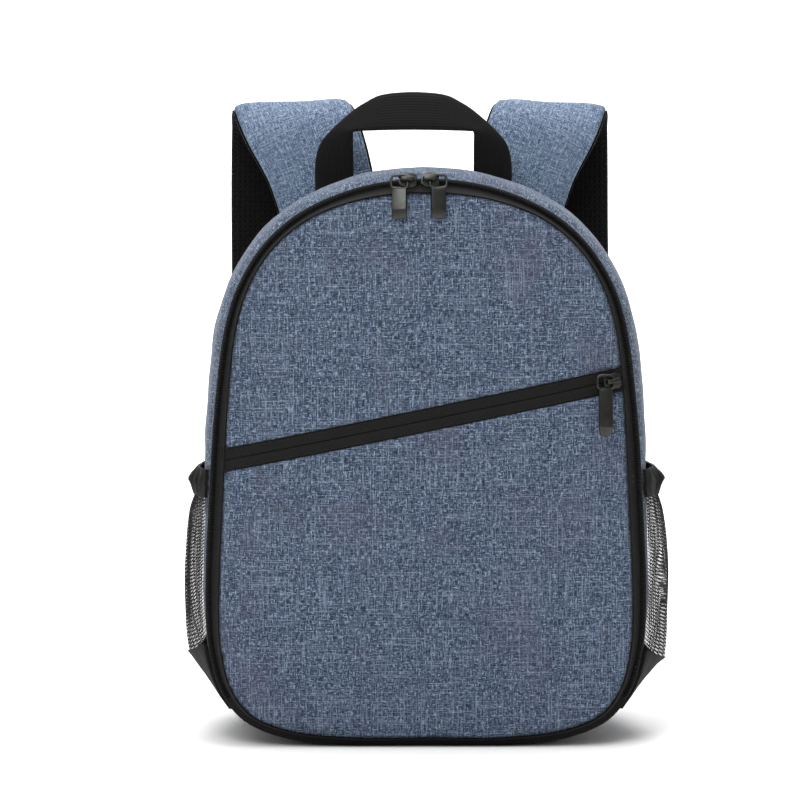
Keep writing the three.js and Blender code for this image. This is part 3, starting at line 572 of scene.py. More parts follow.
@dataclass(frozen=True)
class SpacerMesh(Finish):
    """Knitted spacer mesh: black, soft and pierced by staggered round eyelets, whose darker colour
    is painted shade.
    """

    name: str = "spacer_mesh_knitted"
    colour: str = "#0c0c0c"
    # painted shade: the darker colour laid inside the eyelets
    hole: str = "#020202"
    pitch: float = 3.0  # spacing of the eyelets

    def dress(self, tree: bpy.types.NodeTree) -> dict[str, Any]:
        """Pierce the mesh with sunk eyelets, painted darker as painted shade inside them."""
        place = add_node(tree, "ShaderNodeUVMap", uv_map="cloth").outputs[0]
        spots = {"Vector": place, "Scale": 10 / self.pitch, "Randomness": 0.15}
        cells = add_node(tree, "ShaderNodeTexVoronoi", spots, voronoi_dimensions="2D")
        ramp = add_node(tree, "ShaderNodeValToRGB", {0: cells.outputs["Distance"]})
        fill_ramp(ramp, [(0.2, 0.0), (0.34, 1.0)])
        eyelet = ramp.outputs[0]
        # the eyelets take the darker colour: painted shade in the recesses
        knit = {0: eyelet, 6: linear(self.hole), 7: linear(self.colour)}
        bump = {"Height": eyelet, "Strength": 0.9, "Distance": 0.0008}
        return {
            "Base Color": add_node(tree, "ShaderNodeMix", knit, data_type="RGBA").outputs[2],
            "Roughness": 0.92,
            "Specular IOR Level": 0.12,
            "Sheen Weight": 0.03,
            "Normal": add_node(tree, "ShaderNodeBump", bump).outputs[0],
        }


@dataclass(frozen=True)
class GrainedSurface(Finish):
    """A plain surface with a fine grain that shifts its colour and its height a little."""

    name: str
    colour: str
    second: str
    scale: float  # of the grain
    detail: float
    strength: float  # of the grain's relief
    relief: float
    roughness: float
    sheen: float = 0.0

    def dress(self, tree: bpy.types.NodeTree) -> dict[str, Any]:
        """Grain the surface on its own coordinates."""
        place = add_node(tree, "ShaderNodeTexCoord").outputs["Object"]
        pattern = {"Vector": place, "Scale": self.scale, "Detail": self.detail}
        grain = add_node(tree, "ShaderNodeTexNoise", pattern).outputs[0]
        shade = {0: grain, 6: linear(self.colour), 7: linear(self.second)}
        bump = {"Height": grain, "Strength": self.strength, "Distance": self.relief}
        return {
            "Base Color": add_node(tree, "ShaderNodeMix", shade, data_type="RGBA").outputs[2],
            "Roughness": self.roughness,
            "Sheen Weight": self.sheen,
            "Normal": add_node(tree, "ShaderNodeBump", bump).outputs[0],
        }


@dataclass(frozen=True)
class SatinMetal(Finish):
    """Zinc alloy with a dark gunmetal plating, tumbled to a satin."""

    name: str = "zinc_gunmetal_plated_satin"
    colour: str = "#4b4c49"
    worn: str = "#2f302e"
    roughness: float = 0.34

    def dress(self, tree: bpy.types.NodeTree) -> dict[str, Any]:
        """Cloud the plating and break its gloss with a fine grain."""
        place = add_node(tree, "ShaderNodeTexCoord").outputs["Object"]
        grain, tone = (
            add_node(
                tree, "ShaderNodeTexNoise", {"Vector": place, "Scale": scale, "Detail": detail}
            ).outputs[0]
            for scale, detail in ((1400.0, 3.0), (160.0, 2.0))
        )
        plated = {0: tone, 6: linear(self.colour), 7: linear(self.worn)}
        gloss = {0: grain, 3: self.roughness - 0.06, 4: self.roughness + 0.1}
        bump = {"Height": grain, "Strength": 0.15, "Distance": 0.00005}
        return {
            "Base Color": add_node(tree, "ShaderNodeMix", plated, data_type="RGBA").outputs[2],
            "Roughness": add_node(tree, "ShaderNodeMapRange", gloss).outputs[0],
            "Metallic": 1.0,
            "Normal": add_node(tree, "ShaderNodeBump", bump).outputs[0],
        }


class Wardrobe:
    """Every material of the bag, built once."""

    def __init__(self) -> None:
        """Build the materials."""
        self.canvas = HeatherCloth().material()
        # painted light: the straps take the bag's heather canvas drawn lighter, for the brighter
        # light on their upturned faces
        self.strap_canvas = HeatherCloth(
            name="heather_canvas_strap",
            dark="#2f3e53",
            middle="#4b5e76",
            light="#708299",
            yarn="#9eacbf",
            tint="#525c72",
        ).material()
        self.trim = RibbedCloth("trim_twill_black", "#0a0a0a", "#131413", 1.1).material()
        self.tape = RibbedCloth("zip_tape_woven", "#0e0f0e", "#191a18", 0.9).material()
        self.coil = RibbedCloth(
            "zip_coil_nylon", "#050505", "#0b0b0b", 0.9, roughness=0.5
        ).material()
        self.webbing = RibbedCloth(
            "webbing_nylon_ribbed", "#0a0a0a", "#161616", 1.6, across=False, depth=0.0004
        ).material()
        self.net = RibbedCloth("net_knitted_black", "#080808", "#101010", 0.8).material()
        self.spacer = SpacerMesh().material()
        self.thread = RibbedCloth("sewing_thread_blue", "#4a5b73", "#62758e", 0.8).material()
        self.black_thread = RibbedCloth("sewing_thread_black", "#1b1c1b", "#262725", 0.8).material()
        self.metal = SatinMetal().material()
        # injection moulded acetal with a fine spark-eroded texture
        self.plastic = GrainedSurface(
            "acetal_black_moulded", "#121212", "#1b1b1b", 2200.0, 2.0, 0.3, 0.00004, 0.42
        ).material()
        # brushed tricot over foam, soft and matt, with a faint nap
        self.lining = GrainedSurface(
            "tricot_lining_brushed", "#8d8c91", "#7a797e", 900.0, 4.0, 0.3, 0.0002, 0.95, 0.2
        ).material()


# Outline of the bag seen from the front


@dataclass
class Outline:
    """The zip line round the front, with the body's depth, lean and swell."""

    width: float = 244.0
    height: float = 313.5
    depth: float = 104.0
    lean: float = 8.0
    bulge: float = 7.5
    fit: float = 0.3

    KNOTS = (
        (0.0, 0.0),
        (0.36, 0.0),
        (0.64, 0.013),
        (0.83, 0.045),
        (0.93, 0.095),
        (0.985, 0.17),
        (1.0, 0.27),
        (0.985, 0.42),
        (0.955, 0.6),
        (0.905, 0.745),
        (0.84, 0.82),
        (0.72, 0.891),
        (0.55, 0.945),
        (0.29, 0.986),
    )
    DEEP = ((0, 0), (0.1, 0.62), (0.38, 1), (0.75, 0.88), (0.94, 0.4), (1, 0.1))
    HIGH = ((0, 0), (0.05, 0.1), (0.2, 0.32), (0.4, 0.5), (0.55, 0.85), (0.7, 1), (1.1, 1))

    BAND = (
        (0.0, 5.0),
        (0.1, 5.2),
        (0.15, 6.8),
        (0.2, 8.0),
        (0.27, 7.8),
        (0.33, 6.5),
        (0.38, 5.6),
        (0.43, 5.6),
        (0.47, 7.2),
        (0.5, 8.0),
    )

    def __post_init__(self) -> None:
        """Sample the closed outline finely."""
        half = list(self.KNOTS)
        round_knots = [*half, (0.0, 1.0), *[(-a, b) for a, b in reversed(half[1:])]]
        knots = np.array([(a * self.width / 2, b * self.height) for a, b in round_knots])
        line = centripetal(knots, True, 60)
        self.line = np.vstack([line, line[:1]])
        steps = np.linalg.norm(np.diff(self.line, axis=0), axis=1)
        self.run = np.concatenate([[0.0], np.cumsum(steps)])
        self.length = float(self.run[-1])

    def at(self, share: Array) -> tuple[Array, Array]:
        """Find places on the zip line.

        Args:
            share: Shares of the way round from the middle of the base.

        Returns:
            The places (x, z) and the outward normals.
        """
        travel = np.mod(np.asarray(share, dtype=float), 1.0) * self.length
        place = self._read(travel)
        ahead = self._read(np.mod(travel + 0.6, self.length))
        behind = self._read(np.mod(travel - 0.6, self.length))
        along = ahead - behind
        along /= np.linalg.norm(along, axis=-1, keepdims=True)
        normal = np.stack([along[..., 1], -along[..., 0]], axis=-1)
        return place, normal

    def _read(self, travel: Array) -> Array:
        """Read the outline at a distance along it."""
        return np.stack([np.interp(travel, self.run, self.line[:, i]) for i in (0, 1)], axis=-1)

    def front(self, z: Array) -> Array:
        """Give the zip line's y at a height."""
        return -self.depth / 2 + self.lean * z / self.height

    def ahead(self, share: Array, out: Array, forward: Array) -> Array:
        """Give a place out from the zip line and forward of it.

        Args:
            share: Shares of the way round.
            out: Millimetres outwards.
            forward: Millimetres towards the viewer.

        Returns:
            Places shaped as share, with x, y and z.
        """
        place, normal = self.at(share)
        spot = place + normal * np.asarray(out)[..., None]
        return np.stack([spot[..., 0], self.front(place[..., 1]) - forward, spot[..., 1]], axis=-1)

    def swell(self, z: Array, deep: Array) -> Array:
        """Give how far the gusset stands out at a height and a share of its depth."""
        by_height = np.interp(z / self.height, *zip(*self.HIGH))
        knots = np.array(self.DEEP, dtype=float)
        smooth = centripetal(knots, False, 12)
        return self.bulge * by_height * np.interp(deep, smooth[:, 0], smooth[:, 1])

    def band(self, share: Array) -> Array:
        """Give the zip band's width round the outline."""
        round_share = np.mod(np.asarray(share, dtype=float), 1.0)
        return np.interp(np.minimum(round_share, 1 - round_share), *zip(*self.BAND))

    def half_width(self, z: Array, deep: Array) -> Array:
        """Give half the gusset's outside width at a height and a share of its depth."""
        shares = np.linspace(0.02, 0.49, 400)
        place, normal = self.at(shares)
        table: list[Array] = []
        keys = np.linspace(0, 1, 25)
        for key in keys:
            reach = self.swell(place[:, 1], np.full_like(shares, key))
            spot = place + normal * reach[:, None]
            order = np.argsort(spot[:, 1])
            table.append(np.interp(z, spot[order, 1], spot[order, 0]))
        stack = np.stack(table)
        where = np.clip(np.asarray(deep, dtype=float), 0, 1) * (len(keys) - 1)
        low = np.floor(where).astype(int).clip(0, len(keys) - 2)
        part = where - low
        below = np.take_along_axis(stack, low[None, ...], axis=0)[0]
        above = np.take_along_axis(stack, low[None, ...] + 1, axis=0)[0]
        return below * (1 - part) + above * part


@dataclass
class Body:
    """The padded hollow body: gusset, base and back panel."""

    outline: Outline
    wardrobe: Wardrobe
    wall: float = 8.0
    base_reach: float = 0.112  # share of the outline from the middle of the base to its end
    pucker: float = 6.2  # spacing of the seam's puckers
    stations: int = 150

    def _wall(self, name: str, low: float, high: float, steps: int, seed: int) -> bpy.types.Object:
        """Loft one stretch of the padded wall.

        Args:
            name: The piece's name.
            low: Share of the outline where it starts.
            high: Share where it ends.
            steps: Stations along it.
            seed: Which creases it gets.

        Returns:
            The closed piece.
        """
        line = self.outline
        shares = np.linspace(low, high, steps)
        outer = np.linspace(0.0, 1.0, 26)
        inner = np.linspace(1.0, 0.0, 8)
        deep = np.concatenate([outer, inner])
        inward = np.concatenate([np.zeros(26), np.full(8, self.wall)])
        grid_share, grid_deep = np.meshgrid(shares, deep, indexing="ij")
        place, normal = line.at(grid_share)
        reach = line.swell(place[..., 1], grid_deep) - inward
        along = grid_share * line.length
        crease = 0.45 * smooth_noise(along / 46, grid_deep * 104 / 30, seed)
        pinch = np.exp(-((grid_deep / 0.05) ** 2)) + np.exp(-(((1 - grid_deep) / 0.05) ** 2))
        seam = -0.7 * pinch
        wander = smooth_noise(along / 60, along * 0, 3)
        pucker = 0.28 * np.sin(2 * math.pi * along / self.pucker + 2 * wander)
        edge = np.exp(-((np.minimum(grid_deep, 1 - grid_deep) / 0.08) ** 2))
        ends = np.minimum(grid_share - low, high - grid_share) * line.length
        calm = np.clip(ends / 6, 0, 1)
        reach += np.where(inward == 0, (crease * (1 - edge) + pucker * edge) * calm + seam, 0)
        spot = place + normal * reach[..., None]
        y = line.front(place[..., 1]) * (1 - grid_deep) + line.depth / 2 * grid_deep
        points = np.stack([spot[..., 0], y, spot[..., 1]], axis=-1)
        travel = np.concatenate([outer * line.depth, line.depth + 8 + (1 - inner) * line.depth])
        travel = np.append(travel, travel[-1] + 8)
        return lofted(name, points, cloth_grid(shares * line.length, travel))

    def build(self) -> None:
        """Build the gusset, the base and the back panel."""
        seam = self.outline.fit / 2 / self.outline.length
        reach = self.base_reach
        gusset = self._wall("gusset_cloth", reach + seam, 1 - reach - seam, self.stations, 11)
        finish_piece(gusset, self.wardrobe.canvas, nodes=["gusset"])
        base = self._wall("base_cloth", -reach + seam, reach - seam, 44, 12)
        finish_piece(base, self.wardrobe.trim, nodes=["base_panel"])
        self._back()

    def _back(self) -> None:
        """Build the padded mesh back."""
        line = self.outline
        shares = (np.arange(160) + 0.5) / 160
        y0 = line.depth / 2 + line.fit
        # out from the outline, behind the seam, share of the way to the middle
        edge = [(-1.0, 0.0), (-1.0, 2.2), (-1.1, 4.2), (-1.7, 5.9), (-2.9, 7.1), (-4.6, 7.6)]
        edge += [(-6.4, 7.3), (-8.0, 6.7), (-9.8, 7.4), (-13, 7.9)]
        rows = [(out, behind, 1.0) for out, behind in edge]
        rows += [(-13, 8.0, share) for share in (0.93, 0.86, 0.76, 0.64, 0.5, 0.34, 0.17, 0.05)]
        points: list[Array] = []
        uv: list[Array] = []
        for out, behind, share in rows:
            place, normal = line.at(shares)
            spot = place + normal * out
            middle = np.array([0.0, line.height * 0.5])
            spot = middle + (spot - middle) * share
            soft = 0.5 * smooth_noise(spot[:, 0] / 70, spot[:, 1] / 70, 21) * (share < 0.99)
            y = np.full(len(shares), y0 + behind) + soft
            ring = np.stack([spot[:, 0], y, spot[:, 1]], axis=-1)
            points.append(ring)
            uv.append(np.vstack([ring[:, [0, 2]], ring[:1, [0, 2]]]))
        front = points[0].copy()
        middle = np.array([0.0, y0, line.height * 0.5])
        inner = middle + (front - middle) * 0.5
        points.insert(0, inner)
        uv.insert(0, np.vstack([inner[:, [0, 2]], inner[:1, [0, 2]]]))
        panel = lofted("back_mesh", np.array(points), np.array(uv))
        finish_piece(panel, self.wardrobe.spacer, nodes=["back_panel"])


@dataclass
class Flap:
    """The front flap: its cloth face in two pieces, the zip band, the teeth and the pocket zip."""

    outline: Outline
    wardrobe: Wardrobe
    rim: float = 8.3
    crown: float = 12.0
    cloth: float = 2.2
    zip_height: float = 181.5
    zip_rise: float = 46.0
    zip_run: float = 224.8
    zip_width: float = 12.4
    tape: float = 2.0
    teeth_start: float = 0.125
    tooth_pitch: float = 1.45

    @property
    def middle(self) -> float:
        """Give the height that the face swells round."""
        return self.outline.height * 0.47

    @property
    def slope(self) -> float:
        """Give the pocket zip's rise over its run."""
        return self.zip_rise / self.zip_run

    def face(self, share: Array, inward: Array, depth: Array) -> Array:
        """Give places on the cloth face.

        Args:
            share: Shares of the way round the outline.
            inward: Shares of the way from the face's middle to its rim.
            depth: Millimetres behind the face.

        Returns:
            The places, in x, y and z.
        """
        line = self.outline
        place, normal = line.at(share)
        rim = place - normal * (line.band(share) + line.fit)[..., None]
        x = rim[..., 0] * inward
        z = self.middle + (rim[..., 1] - self.middle) * inward
        y = line.front(z) - self.rim - self.crown * (1 - inward**3) + depth
        return np.stack([x, y, z], axis=-1)

    def forward(self, x: Array, z: Array) -> Array:
        """Give the face's y at places seen from the front."""
        shares = np.linspace(0, 1, 720, endpoint=False)
        rim = self.face(shares, np.ones(720), np.zeros(720))
        turn = np.arctan2(rim[:, 2] - self.middle, rim[:, 0])
        reach = np.hypot(rim[:, 0], rim[:, 2] - self.middle)
        order = np.argsort(turn)
        limit = np.interp(
            np.arctan2(z - self.middle, x), turn[order], reach[order], period=2 * math.pi
        )
        inward = np.clip(np.hypot(x, z - self.middle) / limit, 0, 1)
        return self.outline.front(z) - self.rim - self.crown * (1 - inward**3)

    def build(self) -> None:
        """Build the flap's pieces."""
        self._half("front_upper_cloth", 1, "front_upper")
        self._half("front_lower_cloth", -1, "front_lower")
        self._band()
        self._teeth()
        self._pocket_tape()

    def _half(self, name: str, side: int, node: str) -> None:
        """Build the face on one side of the pocket zip.

        Args:
            name: The piece's name.
            side: 1 above the zip and -1 below it.
            node: The CAD node that it replaces.
        """
        count = 216
        shares = (np.arange(count) + 0.5) / count
        edge_rows = (0.93, 0.955, 0.972, 0.985, 0.994, 1.0)
        inwards = np.array([0.02, *np.linspace(0.08, 0.9, 20), *edge_rows])
        points: list[Array] = []
        uv: list[Array] = []
        for inward in inwards:
            roll = max(0.0, (inward - 0.972) / 0.028)
            ring = self.face(shares, np.full(count, inward), np.full(count, 2.0 * roll**2.2))
            points.append(ring)
            uv.append(np.vstack([ring[:, [0, 2]], ring[:1, [0, 2]]]))
        obj = lofted(name, np.array(points), np.array(uv), caps=False)
        lean = math.atan(self.slope)
        normal = Vector((-math.sin(lean) * side, 0, math.cos(lean) * side))
        origin = Vector((0, 0, self.zip_height))
        edge = self.zip_width / 2 + 0.15
        work = bmesh.new()
        work.from_mesh(obj.data)
        hole: list[Any] = []
        for seam in work.edges:
            spot = seam.verts[0].co
            if seam.is_boundary and 0.13 < spot.z < 0.16 and abs(spot.x) < 0.03:
                hole.append(seam)
        bmesh.ops.contextual_create(work, geom=hole)
        for step in (0.0, 0.5, 1.1, 2.0, 3.4, 6.0):
            bmesh.ops.bisect_plane(
                work,
                geom=[*work.verts, *work.edges, *work.faces],
                plane_co=(origin + normal * (edge + step)) * MM,
                plane_no=normal,
                clear_inner=step == 0,
                dist=1e-6,
            )
        for vert in work.verts:
            gap = (vert.co - origin * MM).dot(normal) / MM - edge
            x, z = vert.co.x / MM, vert.co.z / MM
            roll = max(0.0, 1 - gap / 2.4)
            soft = math.exp(-((gap / 7.0) ** 2))
            along = x / math.cos(lean)
            ripple = 0.22 * math.sin(along / 1.9) * math.sin(along / 7.3 + 1.0) * soft
            groove = 0.55 * math.exp(-(((gap - 3.0) / 2.6) ** 2))
            vert.co.y += (1.7 * roll**2.2 + ripple - groove) * MM
            wander = 0.55 * float(smooth_noise(np.array(x / 62), np.array(z / 55), 31))
            vert.co.y += wander * (1 - soft) * MM
        work.to_mesh(obj.data)
        work.free()
        with_modifier(obj, "SOLIDIFY", thickness=1.6 * MM, offset=-1.0)
        turn_outwards(obj.data)
        finish_piece(obj, self.wardrobe.canvas, nodes=[node], sharp=60)

    def _band(self) -> None:
        """Build the black band that carries the zip round the flap."""
        line = self.outline
        count = 260
        shares = np.arange(count) / count
        width = line.band(shares)
        rim = self.rim
        section = [
            (lambda w: -0.05, 0.35),
            (lambda w: 0.1, 1.3),
            (lambda w: -0.1, 2.1),
            (lambda w: -0.7, 2.45),
            (lambda w: -1.8, 2.4),
            (lambda w: -2.9, 2.5),
            (lambda w: -3.5, 2.9),
            (lambda w: -3.6 - 0.15 * (w - 3.6), 3.9),
            (lambda w: -3.6 - 0.45 * (w - 3.6), 5.5),
            (lambda w: -3.6 - 0.7 * (w - 3.6), 7.1),
            (lambda w: -3.6 - 0.86 * (w - 3.6), rim - 0.2),
            (lambda w: -w + 0.25, rim + 0.1),
            (lambda w: -w + 0.05, rim - 0.35),
            (lambda w: -w, rim - self.tape),
            (lambda w: -4.1, 0.5),
            (lambda w: -3.9, 0.35),
        ]
        lines = [line.ahead(shares, out(width), np.full(count, ahead)) for out, ahead in section]
        points = np.stack(lines, axis=1)
        soft = 0.18 * smooth_noise(shares * line.length / 34, shares * 0, 5)
        points[:, 6:12, 1] += soft[:, None]
        travel = np.array([0, 1, 2, 2.6, 3.6, 4.8, 5.5, 6.8, 9, 11, 13, 14, 14.6, 16, 22, 24, 28.0])
        uv = cloth_grid(np.arange(count + 1) / count * line.length, travel)
        band = lofted("zip_band_tape", points, uv, ring=True)
        finish_piece(band, self.wardrobe.tape, nodes=["zip_band"])

    def _teeth(self) -> None:
        """Grow the zip's coil along its ledge."""
        line = self.outline
        shares = np.linspace(self.teeth_start, 1 - self.teeth_start, 900)
        path = line.ahead(shares, np.full(900, -1.8), np.full(900, 3.3))
        obj = path_object("main_zip_coil", path, np.tile([0.0, -1.0, 0.0], (900, 1)))
        group = repeat_along_path("zip_coil_turns", self.wardrobe.coil, (1.05, 2.7, 1.5))
        grown(obj, group, {"Pitch": self.tooth_pitch * MM})
        finish_piece(obj, self.wardrobe.coil, nodes=["zip_teeth"])

    def _pocket_tape(self) -> None:
        """Build the slanted pocket zip: two woven tapes that meet over a hidden coil."""
        lean = math.atan(self.slope)
        ends = []
        shares = np.linspace(0.15, 0.4, 800)
        rims = self.face(shares, np.ones(800), np.zeros(800))
        for side in (-1, 1):
            away = np.abs(rims[:, 2] - self.zip_height - side * self.slope * rims[:, 0])
            ends.append(side * (float(rims[np.argmin(away), 0]) + 1.4))
        half = self.zip_width / 2 - 0.15
        right = np.array([0, 0.06, 0.13, 0.4, 0.8, 0.97, 1]) * half
        across = np.concatenate([-right[:0:-1], right])
        sink = np.array([1.3, 1.0, 0.85, 0.75, 0.6, 0.85, 1.5, 0.85, 0.6, 0.75, 0.85, 1.0, 1.3])
        xs = np.linspace(ends[0], ends[1], 160)
        grid_x, grid_a = np.meshgrid(xs, across, indexing="ij")
        px = grid_x - math.sin(lean) * grid_a
        pz = self.zip_height + self.slope * grid_x + math.cos(lean) * grid_a
        y = self.forward(px, pz) + sink[None, :]
        y += 0.12 * smooth_noise(grid_x / 30, grid_a / 30, 8)
        top = np.stack([px, y, pz], axis=-1)
        back = top[:, ::-1].copy()
        back[..., 1] = self.forward(back[..., 0], back[..., 2]) + 2.3
        points = np.concatenate([top, back], axis=1)
        travel = np.concatenate([across + half, across + 3 * half + 2, [4 * half + 4]])
        tape = lofted("pocket_zip_cloth", points, cloth_grid(xs / math.cos(lean), travel))
        finish_piece(tape, self.wardrobe.tape, nodes=["pocket_zip_tape"])
        for label, column in (("low", 2), ("high", 10)):
            out = np.tile([0.0, -1.0, 0.0], (len(xs) - 12, 1))
            name = f"pocket_zip_stitches_{label}"
            stitch_row(name, top[6:-6, column], out, self.wardrobe.black_thread)


# Geometry Nodes shared by the repeats


def path_object(name: str, path: Array, out: Array) -> bpy.types.Object:
    """Make a line of edges that a tree can follow.

    Args:
        name: The object's name.
        path: Places in millimetres.
        out: The direction out of the cloth at each place.

    Returns:
        The object, with the directions kept in the attribute "out".
    """
    mesh = bpy.data.meshes.new(name)
    mesh.from_pydata((path * MM).tolist(), [(i, i + 1) for i in range(len(path) - 1)], [])
    layer = mesh.attributes.new("out", "FLOAT_VECTOR", "POINT")
    layer.data.foreach_set("vector", out.astype(np.float32).ravel())
    obj = bpy.data.objects.new(name, mesh)
    bpy.context.scene.collection.objects.link(obj)
    return obj


def stitch_row(name: str, path: Array, out: Array, thread: bpy.types.Material) -> None:
    """Sew a row of stitches along a path.

    Args:
        name: The row's name.
        path: Places in millimetres on the cloth.
        out: The direction out of the cloth at each place.
        thread: What it is sewn with.
    """
    obj = path_object(name, path, out)
    label = f"stitches_{thread.name}"
    group = bpy.data.node_groups.get(label) or repeat_along_path(label, thread, (2.4, 0.55, 0.5))
    grown(obj, group, {"Pitch": 3.3 * MM})
    finish_piece(obj, thread)


def open_tree(name: str, sizes: dict[str, str]) -> tuple[bpy.types.NodeTree, Any]:
    """Start a tree of Geometry Nodes.

    Args:
        name: The tree's name.
        sizes: Name of each input beside the geometry, to its kind, such as "Float".

    Returns:
        The tree and its inputs' sockets.
    """
    group = bpy.data.node_groups.new(name, "GeometryNodeTree")
    for label, kind in {"Geometry": "Geometry", **sizes}.items():
        group.interface.new_socket(label, in_out="INPUT", socket_type=f"NodeSocket{kind}")
    group.interface.new_socket("Geometry", in_out="OUTPUT", socket_type="NodeSocketGeometry")
    return group, add_node(group, "NodeGroupInput").outputs


def close_tree(group: bpy.types.NodeTree, shape: Any, material: bpy.types.Material) -> None:
    """End a tree with real, dressed geometry.

    Args:
        group: The tree.
        shape: The socket that holds the finished shape.
        material: What the shape is made of.
    """
    real = add_node(group, "GeometryNodeRealizeInstances", {0: shape})
    dressed = add_node(
        group, "GeometryNodeSetMaterial", {"Geometry": real.outputs[0], "Material": material}
    )
    done = add_node(group, "NodeGroupOutput")
    group.links.new(dressed.outputs[0], done.inputs[0])


def repeat_along_path(
    name: str, material: bpy.types.Material, size: tuple[float, float, float]
) -> bpy.types.NodeTree:
    """Build a tree that sets rounded bars along a path.

    Args:
        name: The tree's name.
        material: What the bars are made of.
        size: A bar's size along the path, across it and out of the cloth, in millimetres.

    Returns:
        The tree, with the input "Pitch".
    """
    group, given = open_tree(name, {"Pitch": "Float"})
    curve = add_node(group, "GeometryNodeMeshToCurve", {0: given["Geometry"]})
    even = add_node(
        group,
        "GeometryNodeResampleCurve",
        {"Curve": curve.outputs[0], "Length": given["Pitch"]},
        mode="LENGTH",
    )
    ball = {"Segments": 8, "Rings": 4, "Radius": 1.0}
    bar = add_node(group, "GeometryNodeMeshUVSphere", ball)
    drawn = {"Geometry": bar.outputs[0], "Scale": tuple(length / 2 * MM for length in size)}
    shaped = add_node(group, "GeometryNodeTransform", drawn)
    tangent = add_node(group, "GeometryNodeInputTangent")
    out = add_node(
        group, "GeometryNodeInputNamedAttribute", {"Name": "out"}, data_type="FLOAT_VECTOR"
    )
    first = add_node(
        group, "FunctionNodeAlignRotationToVector", {"Vector": tangent.outputs[0]}, axis="X"
    )
    second = add_node(
        group,
        "FunctionNodeAlignRotationToVector",
        {"Rotation": first.outputs[0], "Vector": out.outputs["Attribute"]},
        axis="Z",
        pivot_axis="X",
    )
    placed = add_node(
        group,
        "GeometryNodeInstanceOnPoints",
        {"Points": even.outputs[0], "Instance": shaped.outputs[0], "Rotation": second.outputs[0]},
    )
    close_tree(group, placed.outputs[0], material)
    return group


# Carried parts: handle, straps, locks and webbing


@dataclass
class CarryHandle:
    """The webbing handle over the top, leaning forward above its two legs."""

    outline: Outline
    wardrobe: Wardrobe
    span: float = 115.0
    rise: float = 66.0
    shift: float = -6.6
    cloth: float = 2.4
    foot: float = 300.4

    # outer edge, outer height, inner edge, inner height, lean of the outer and the inner edge
    ROWS = (
        (1.0, 0.0, 0.61, 0.145, 0.0, 0.0),
        (1.0, 0.17, 0.61, 0.27, 1.5, 1.8),
        (0.998, 0.36, 0.61, 0.42, 3.6, 4.2),
        (0.965, 0.5, 0.61, 0.55, 5.0, 6.4),
        (0.92, 0.575, 0.61, 0.625, 5.4, 7.4),
        (0.85, 0.645, 0.6, 0.648, 5.2, 7.8),
        (0.69, 0.777, 0.55, 0.652, 3.4, 7.8),
        (0.5, 0.9, 0.42, 0.655, 1.2, 7.6),
        (0.26, 0.985, 0.22, 0.66, -0.6, 7.2),
        (0.0, 1.0, 0.0, 0.662, -1.0, 7.0),
    )

    def build(self) -> None:
        """Build the handle as one strip of webbing with rolled edges."""
        right = np.array(self.ROWS)
        left = right[:-1].copy()
        left[:, [0, 2]] *= -1
        rows = np.vstack([right, left[::-1]])
        fine = centripetal(rows, False, 7)
        across = np.array([0.0, 0.03, 0.1, 0.3, 0.5, 0.7, 0.9, 0.97, 1.0])
        thick = np.array([0.25, 0.7, 1.0, 1.0, 1.0, 1.0, 1.0, 0.7, 0.25]) * self.cloth / 2
        half = self.span / 2
        back = self.outline.depth / 2 - self.cloth / 2
        outer = np.stack(
            [
                self.shift + fine[:, 0] * half,
                back - fine[:, 4],
                self._seat(self.shift + fine[:, 0] * half, self.foot + fine[:, 1] * self.rise),
            ],
            axis=-1,
        )
        inner = np.stack(
            [
                self.shift + fine[:, 2] * half,
                back - fine[:, 5],
                self._seat(self.shift + fine[:, 2] * half, self.foot + fine[:, 3] * self.rise),
            ],
            axis=-1,
        )
        sheet = outer[:, None] + (inner - outer)[:, None] * across[None, :, None]
        along = np.gradient(sheet, axis=0)
        over = np.gradient(sheet, axis=1)
        normal = np.cross(along, over)
        normal /= np.linalg.norm(normal, axis=-1, keepdims=True)
        top = sheet + normal * thick[None, :, None]
        under = (sheet - normal * thick[None, :, None])[:, ::-1]
        points = np.concatenate([top, under], axis=1)
        run = np.concatenate([[0], np.cumsum(np.linalg.norm(np.diff(sheet[:, 4], axis=0), axis=1))])
        wide = np.concatenate([across * 22, 22 + (1 - across[::-1]) * 22, [44]])
        handle = lofted("handle_webbing", points, cloth_grid(run, wide))
        finish_piece(
            handle, self.wardrobe.webbing, nodes=["carry_handle"], sharp=70
        )

    def _seat(self, x: Array, z: Array) -> Array:
        """Keep the feet on the gusset's top."""
        line = self.outline
        shares = np.linspace(0.25, 0.75, 400)
        place, normal = line.at(shares)
        spot = place + normal * line.swell(place[:, 1], np.full(400, 0.93))[:, None]
        order = np.argsort(spot[:, 0])
        return np.maximum(z, np.interp(x, spot[order, 0], spot[order, 1]) + 0.3)


